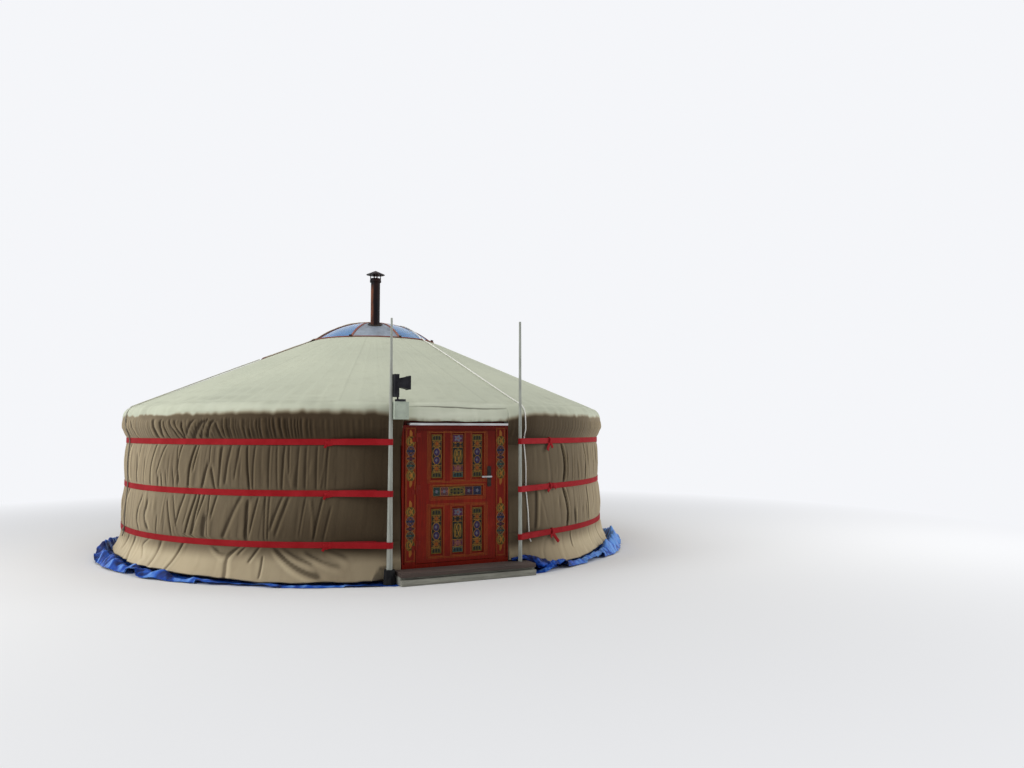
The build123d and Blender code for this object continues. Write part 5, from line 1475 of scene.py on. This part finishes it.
gilt = {
    "gold": (0.340, 0.165, 0.026),
    "dim": (0.350, 0.125, 0.022),
    "night": (0.016, 0.015, 0.014),
    "olive": (0.085, 0.068, 0.020),
    "navy": (0.024, 0.030, 0.085),
    "teal": (0.030, 0.066, 0.060),
    "purple": (0.085, 0.020, 0.050),
    "rose": (0.210, 0.075, 0.075),
    "amber": (0.270, 0.075, 0.012),
    "lilac": (0.145, 0.138, 0.175),
}
paintRise = {"patch": 0.0008, "bead": 0.0012}


def patch(paint, colour, outline, face):
    # a raised flat shape: its outline (n, 2) in x and z, a small bevel, and a middle ring that closes it
    middle = outline.mean(0)
    rise, rings = paintRise["patch"], []
    for size, out in ((1.0, 0.0), (1.0, rise * 0.6), (0.97, rise), (0.5, rise), (0.02, rise)):
        ring = middle + (outline - middle) * size
        rings.append(np.stack([ring[:, 0], np.full(len(ring), face - out), ring[:, 1]], -1))
    paint[colour].append({"points": np.stack(rings), "wrap": True, "capHigh": True})


def bead(paint, colour, outline, width, face, closed=True):
    # a half-round bead of paint along a line in x and z
    tangent = np.roll(outline, -1, 0) - np.roll(outline, 1, 0) if closed else np.gradient(outline, axis=0)
    tangent /= np.linalg.norm(tangent, axis=1)[:, None] + 1e-9
    normal = np.stack([-tangent[:, 1], tangent[:, 0]], -1)
    across = np.array([-0.5, -0.3, 0.0, 0.3, 0.5]) * width
    out = np.array([0.0, 0.8, 1.0, 0.8, 0.0]) * paintRise["bead"]
    flat = outline[:, None] + normal[:, None] * across[None, :, None]
    points = np.stack([flat[..., 0], face - out[None, :] + 0 * flat[..., 0], flat[..., 1]], -1)
    if closed:
        points = np.concatenate([points, points[:1]])
    paint[colour].append({"points": points, "flip": True})


def box(left, right, low, high, count):
    # rectangle outline with a few points a side
    t = np.linspace(0, 1, count, endpoint=False)[:, None]
    corners = np.array([(left, low), (right, low), (right, high), (left, high)])
    return np.vstack([corners[i] + (corners[(i + 1) % 4] - corners[i]) * t for i in range(4)])


def oval(x, z, wide, tall, count=36, waves=0, depth=0.0):
    # r = 1 + depth cos(waves t), stretched to the given half width and height
    t = np.linspace(0, 2 * math.pi, count, endpoint=False)
    reach = 1 + depth * np.cos(waves * t)
    return np.stack([x + wide * reach * np.cos(t), z + tall * reach * np.sin(t)], -1)


def scroll(x, z, size, side, up):
    # spiral that opens outwards by 1.35 turns: r grows with the angle
    t = np.linspace(0, 1, 24)
    angle = math.pi / 2 + 2 * math.pi * 1.35 * t
    reach = size * (0.18 + 0.82 * t)
    return np.stack([x + side * reach * np.cos(angle), z + up * reach * np.sin(angle)], -1)


def knot(x, z, wide, tall, across, along, count):
    # closed interlaced line: x = sin(a t), z = sin(b t)
    t = np.linspace(0, 2 * math.pi, count, endpoint=False)
    return np.stack([x + wide * np.sin(across * t + 0.6), z + tall * np.sin(along * t)], -1)


def blocks(paint, x, half, bands, face):
    # stacked colour blocks of a panel, each (low, high, colour), with a gilt line round each
    for low, high, colour in bands:
        patch(paint, colour, box(x - half, x + half, low + 0.001, high - 0.001, 3), face)
        line = box(x - half + 0.002, x + half - 0.002, low + 0.001, high - 0.001, 4)
        bead(paint, "gold", line, 0.0034, face - 0.0006)


def corners(paint, x, z, half, tall, face, colour="gold", width=0.0036):
    # four scrolls that face each other two by two
    for way in (-1, 1):
        for side in (-1, 1):
            line = scroll(x + side * half * 0.50, z + way * tall * 0.48, min(half, tall) * 0.44, side, way)
            bead(paint, colour, line, width, face, closed=False)


def pillars(paint, x, z, half, tall, face):
    # three dark uprights under a gilt arch
    for place in (-0.52, 0.0, 0.52):
        patch(paint, "night", oval(x + place * half, z - 0.06 * tall, half * 0.15, tall * 0.62, 14), face)
    arch = np.linspace(0, math.pi, 24)
    line = np.stack([x + half * 0.78 * np.cos(arch), z + tall * (0.25 + 0.50 * np.sin(arch))], -1)
    bead(paint, "gold", line, 0.0036, face - 0.0004, closed=False)


def sidePanel(paint, x, low, high, face, half):
    # two dark blue medallions, gilt scrolls on dark above and below them, green ends with pillars
    tall = high - low
    a, b = 0.145 * tall, 0.285 * tall
    marks = (low, low + a, low + b, high - b, high - a, high)
    blocks(paint, x, half, zip(marks, marks[1:], ("olive", "night", "night", "night", "olive")), face)
    middle, size = (low + high) / 2, tall / 2 - b
    bead(paint, "gold", oval(x, middle, half * 0.88, size * 0.95, 60, 10, 0.05), 0.0044, face - 0.0008)
    for way in (-1, 1):
        spot = middle + way * size * 0.44
        medallion = oval(x, spot, half * 0.62, size * 0.43)
        patch(paint, "navy", medallion, face - 0.0008)
        bead(paint, "gold", medallion, 0.0042, face - 0.0012)
        patch(paint, "lilac", oval(x, spot, half * 0.26, size * 0.20, 24, 4, 0.2), face - 0.0016)
        bead(paint, "purple", knot(x, spot, half * 0.42, size * 0.30, 2, 3, 60), 0.0036, face - 0.0018)
        edge = middle + way * (tall / 2 - (a + b) / 2)
        patch(paint, "amber", oval(x, edge, half * 0.34, (b - a) * 0.36, 24, 4, 0.25), face - 0.0008)
        corners(paint, x, edge, half, (b - a) / 2, face - 0.0008, "gold", 0.0046)
        pillars(paint, x, middle + way * (tall / 2 - a / 2), half, a / 2, face - 0.0008)


def middlePanel(paint, x, low, high, face, half):
    # a pale flower at the top, a gilt knot on brown, rose and teal blocks at the foot
    marks = low + (high - low) * np.array([0, 0.135, 0.29, 0.70, 0.82, 1.0])
    middles, sizes = (marks[1:] + marks[:-1]) / 2, marks[1:] - marks[:-1]
    bands = list(zip(marks, marks[1:], ("teal", "purple", "night", "night", "purple")))
    blocks(paint, x, half, bands, face)
    middle, size = middles[2], sizes[2] / 2
    patch(paint, "olive", oval(x, middle, half * 0.84, size * 0.92, 48, 8, 0.06), face - 0.0008)
    bead(paint, "gold", knot(x, middle, half * 0.60, size * 0.72, 3, 5, 130), 0.0046, face - 0.0012)
    for step in (-0.5, 0.0, 0.5):
        bar, wide = middle + size * step, half * 0.30
        patch(paint, "night", box(x - wide, x + wide, bar - 0.006, bar + 0.006, 3), face - 0.0010)
    patch(paint, "lilac", oval(x, middles[4], half * 0.60, sizes[4] * 0.36, 40, 5, 0.25), face - 0.0008)
    patch(paint, "rose", oval(x, middles[4], half * 0.20, sizes[4] * 0.12, 16), face - 0.0014)
    corners(paint, x, middles[3], half, sizes[3] / 2, face - 0.0008, "dim")
    patch(paint, "rose", oval(x, middles[1], half * 0.52, sizes[1] * 0.34, 30, 6, 0.2), face - 0.0008)
    corners(paint, x, middles[1], half, sizes[1] / 2, face - 0.0014)
    pillars(paint, x, middles[0], half, sizes[0] / 2, face - 0.0008)


def crossPanel(paint, x, low, high, half, face):
    # the long panel across the leaf: teal and rose, an olive middle with dark dots, purple and navy
    edges = np.array([-1, -0.70, -0.37, 0.30, 0.64, 1]) * half
    middle, tall = (low + high) / 2, (high - low) / 2
    for left, right, colour in zip(edges, edges[1:], ("teal", "rose", "olive", "purple", "navy")):
        patch(paint, colour, box(x + left + 0.001, x + right - 0.001, low, high, 4), face)
        line = box(x + left + 0.002, x + right - 0.002, low + 0.001, high - 0.001, 4)
        bead(paint, "gold", line, 0.0034, face - 0.0006)
        if colour != "olive":
            spot, wide = x + (left + right) / 2, right - left
            corners(paint, spot, middle, wide / 2, tall, face - 0.0008, "night", 0.0060)
            patch(paint, "lilac", oval(spot, middle, wide * 0.16, tall * 0.40, 24, 5, 0.25), face - 0.0012)
    centre = x + (edges[2] + edges[3]) / 2
    for side in (-0.22, -0.075, 0.075, 0.22):
        for way in (-0.4, 0.4):
            dot = oval(centre + side * half, middle + way * tall, 0.0105, 0.0115, 16)
            patch(paint, "night", dot, face - 0.0008)
    bead(paint, "gold", oval(centre, middle, half * 0.31, tall * 0.84, 48, 10, 0.05), 0.0044, face - 0.0008)


def jambMotif(paint, x, low, high, face, half):
    # a tall motif on the jamb: gilt leaves at both ends, blue, purple and teal between
    marks = low + (high - low) * np.array([0, 0.24, 0.44, 0.56, 0.78, 1.0])
    for start, end, colour in zip(marks, marks[1:], ("olive", "teal", "purple", "navy", "olive")):
        middle, tall = (start + end) / 2, (end - start) / 2
        leaf = oval(x, middle, half, tall * 1.05, 28, 6, 0.06)
        patch(paint, colour, leaf, face)
        bead(paint, "gold", leaf, 0.0034, face - 0.0006)
        if colour == "olive":
            bead(paint, "gold", knot(x, middle, half * 0.62, tall * 0.74, 2, 3, 60), 0.0070, face - 0.0008)
            patch(paint, "dim", oval(x, middle, half * 0.30, tall * 0.30, 16), face - 0.0006)
        else:
            ring = oval(x, middle, half * 0.58, tall * 0.58, 24, 4, 0.2)
            bead(paint, "night", ring, 0.0100, face - 0.0008)
            corners(paint, x, middle, half, tall, face - 0.0008, "dim")
    for way, end in ((-1, low), (1, high)):
        patch(paint, "dim", oval(x, end + way * half * 0.5, half * 0.34, half * 0.9, 20, 3, 0.15), face)


def finishPaint(prefix, paint, body):
    # one piece for each colour that was used
    for colour, parts in paint.items():
        if parts:
            if colour not in finishes:
                dull = tuple(0.55 * c + 0.004 for c in gilt[colour])
                finishes[colour] = paintFinish("paint_" + colour, gilt[colour], dull,
                                               roughness=0.5, gloss=0.12, wear=0.8)
            buildPiece(f"{prefix}_{colour}", parts, finishes[colour], body=body, sharp=50)


door = {
    "centre": 0.018,
    "leafFace": -3.010,
    "fieldFace": -3.005,       # of the sunk panels
    "jambFace": -3.010,
    "rows": ((1.006, 1.444), (0.251, 0.696)),   # heights of the upper and the lower panels
    "sides": (-0.217, 0.227),  # places on x, from the door's centre
    "sideHalf": 0.055,
    "middle": 0.013,
    "middleHalf": 0.059,
    "cross": (0.010, 0.823, 0.914, 0.266),      # place on x, heights and half width
    # dim lines: double ones round the fields, then round each panel, then one round the cross panel
    "fields": ((-0.318, 0.340, 0.958, 1.476), (-0.318, 0.340, 0.205, 0.745), (-0.288, 0.318, 0.786, 0.937)),
    "fieldInsets": (0.0, 0.012),
    "lineRows": ((0.235, 0.712), (0.990, 1.460)),
    "lineColumns": (-0.215, 0.015, 0.235),
    "lineHalf": 0.064,
    "lineInsets": (0.007, 0.016),
    "crossLine": (-0.265, 0.295, 0.808, 0.929),
    "jambs": 0.4925,           # from the centre to the middle of each jamb
    "jambHalf": 0.046,
    "jambMotifs": ((0.985, 1.425), (0.300, 0.725)),
    "jambLine": (0.050, 0.190, 1.510),          # half width and heights
    "jambInsets": (0.0, 0.008),
}


def paintLeaf():
    # panels of the leaf, then the dim lines round them
    paint = {colour: [] for colour in gilt}
    centre, face, field = door["centre"], door["leafFace"], door["fieldFace"]
    for column in door["sides"]:
        for low, high in door["rows"]:
            sidePanel(paint, centre + column, low, high, field, door["sideHalf"])
    for low, high in door["rows"]:
        middlePanel(paint, centre + door["middle"], low, high, field, door["middleHalf"])
    place, low, high, half = door["cross"]
    crossPanel(paint, centre + place, low, high, half, field)
    for left, right, low, high in door["fields"]:
        for inset in door["fieldInsets"]:
            line = box(centre + left + inset, centre + right - inset, low + inset, high - inset, 12)
            bead(paint, "dim", line, 0.0027, face)
    for low, high in door["lineRows"]:
        for column in door["lineColumns"]:
            for out in door["lineInsets"]:
                reach = door["lineHalf"] + out
                line = box(centre + column - reach, centre + column + reach, low - out, high + out, 10)
                bead(paint, "dim", line, 0.0027, face)
    left, right, low, high = door["crossLine"]
    bead(paint, "dim", box(centre + left, centre + right, low, high, 10), 0.0034, face)
    finishPaint("leaf_paint", paint, "door")


def paintJambs():
    # two motifs and a double line on each jamb
    paint = {colour: [] for colour in gilt}
    half, low, high = door["jambLine"]
    for side in (-1, 1):
        middle = door["centre"] + side * door["jambs"]
        for start, end in door["jambMotifs"]:
            jambMotif(paint, middle, start, end, door["jambFace"], door["jambHalf"])
        for inset in door["jambInsets"]:
            line = box(middle - half + inset, middle + half - inset, low + inset, high - inset, 24)
            bead(paint, "dim", line, 0.0026, door["jambFace"])
    finishPaint("jamb_paint", paint, "yurt")


paintLeaf()
paintJambs()
print("door paint made")


studio = {
    "floor": (0.78, 0.78, 0.77, 1),
    "floorHalf": 40.0,
    "fade": (3.6, 10.0),        # the floor fades to the backdrop between these distances
    "backdrop": (0.96, 0.97, 1.0, 1),
    "brightness": 0.95,         # as the camera sees it
    "ambient": 0.48,            # on the yurt
}


def makeStage():
    # pale floor round the yurt, fading to the light of the studio's back wall beyond it
    side = np.array([-studio["floorHalf"], studio["floorHalf"]])
    x, y = np.meshgrid(side, side, indexing="xy")
    mesh = bpy.data.meshes.new("studio_floor")
    mesh.from_pydata(np.stack([x, y, 0 * x], -1).reshape(-1, 3).tolist(), [], [(0, 1, 3, 2)])
    floor = bpy.data.objects.new("studio_floor", mesh)
    bpy.context.scene.collection.objects.link(floor)
    finish, tree, shader = startFinish("studio_floor", Base_Color=studio["floor"], Roughness=0.95,
                                       Specular_IOR_Level=0.0)
    away = addNode(tree, "VectorMath", {0: addNode(tree, "TexCoord").outputs["Object"]}, operation="LENGTH")
    share = spread(tree, away.outputs["Value"], *studio["fade"])
    glow = addNode(tree, "Emission", {"Color": studio["backdrop"], "Strength": studio["brightness"]})
    mixed = addNode(tree, "MixShader", {0: share, 1: shader.outputs[0], 2: glow.outputs[0]})
    tree.links.new(mixed.outputs[0], tree.nodes["Material Output"].inputs[0])
    mesh.materials.append(finish)


def makeWorld():
    # even light on the yurt, brighter where the camera, a reflection or clear plastic sees it
    world = bpy.data.worlds.new("studio")
    world.use_nodes = True
    tree = world.node_tree
    tree.nodes.clear()
    path = addNode(tree, "LightPath").outputs
    seen = mathNode(tree, "MAXIMUM", path["Is Glossy Ray"], path["Is Transmission Ray"])
    seen = mathNode(tree, "MAXIMUM", path["Is Camera Ray"], seen)
    strength = spread(tree, seen, 0.0, 1.0, studio["ambient"], studio["brightness"])
    sky = addNode(tree, "Background", {"Color": studio["backdrop"], "Strength": strength})
    tree.links.new(sky.outputs[0], addNode(tree, "OutputWorld").inputs[0])
    bpy.context.scene.world = world


def areaLight(name, place, target, size, power):
    # square lamp at a place, turned towards a target
    data = bpy.data.lights.new(name, "AREA")
    data.size, data.energy = size, power
    light = bpy.data.objects.new(name, data)
    light.location = place
    away = np.array(place, float) - np.array(target, float)
    flat = math.hypot(away[0], away[1])
    light.rotation_euler = (math.atan2(flat, away[2]), 0, math.atan2(away[0], -away[1]))
    bpy.context.scene.collection.objects.link(light)


makeStage()
makeWorld()
areaLight("overhead", (-2.0, -1.0, 9.0), (0, 0, 1.5), 8.0, 240)
areaLight("left_soft", (-10.0, -3.0, 5.0), (0, 0, 1.2), 4.0, 440)
areaLight("right_soft", (9.0, -5.0, 4.5), (0, 0, 1.2), 4.0, 330)
print("studio made")
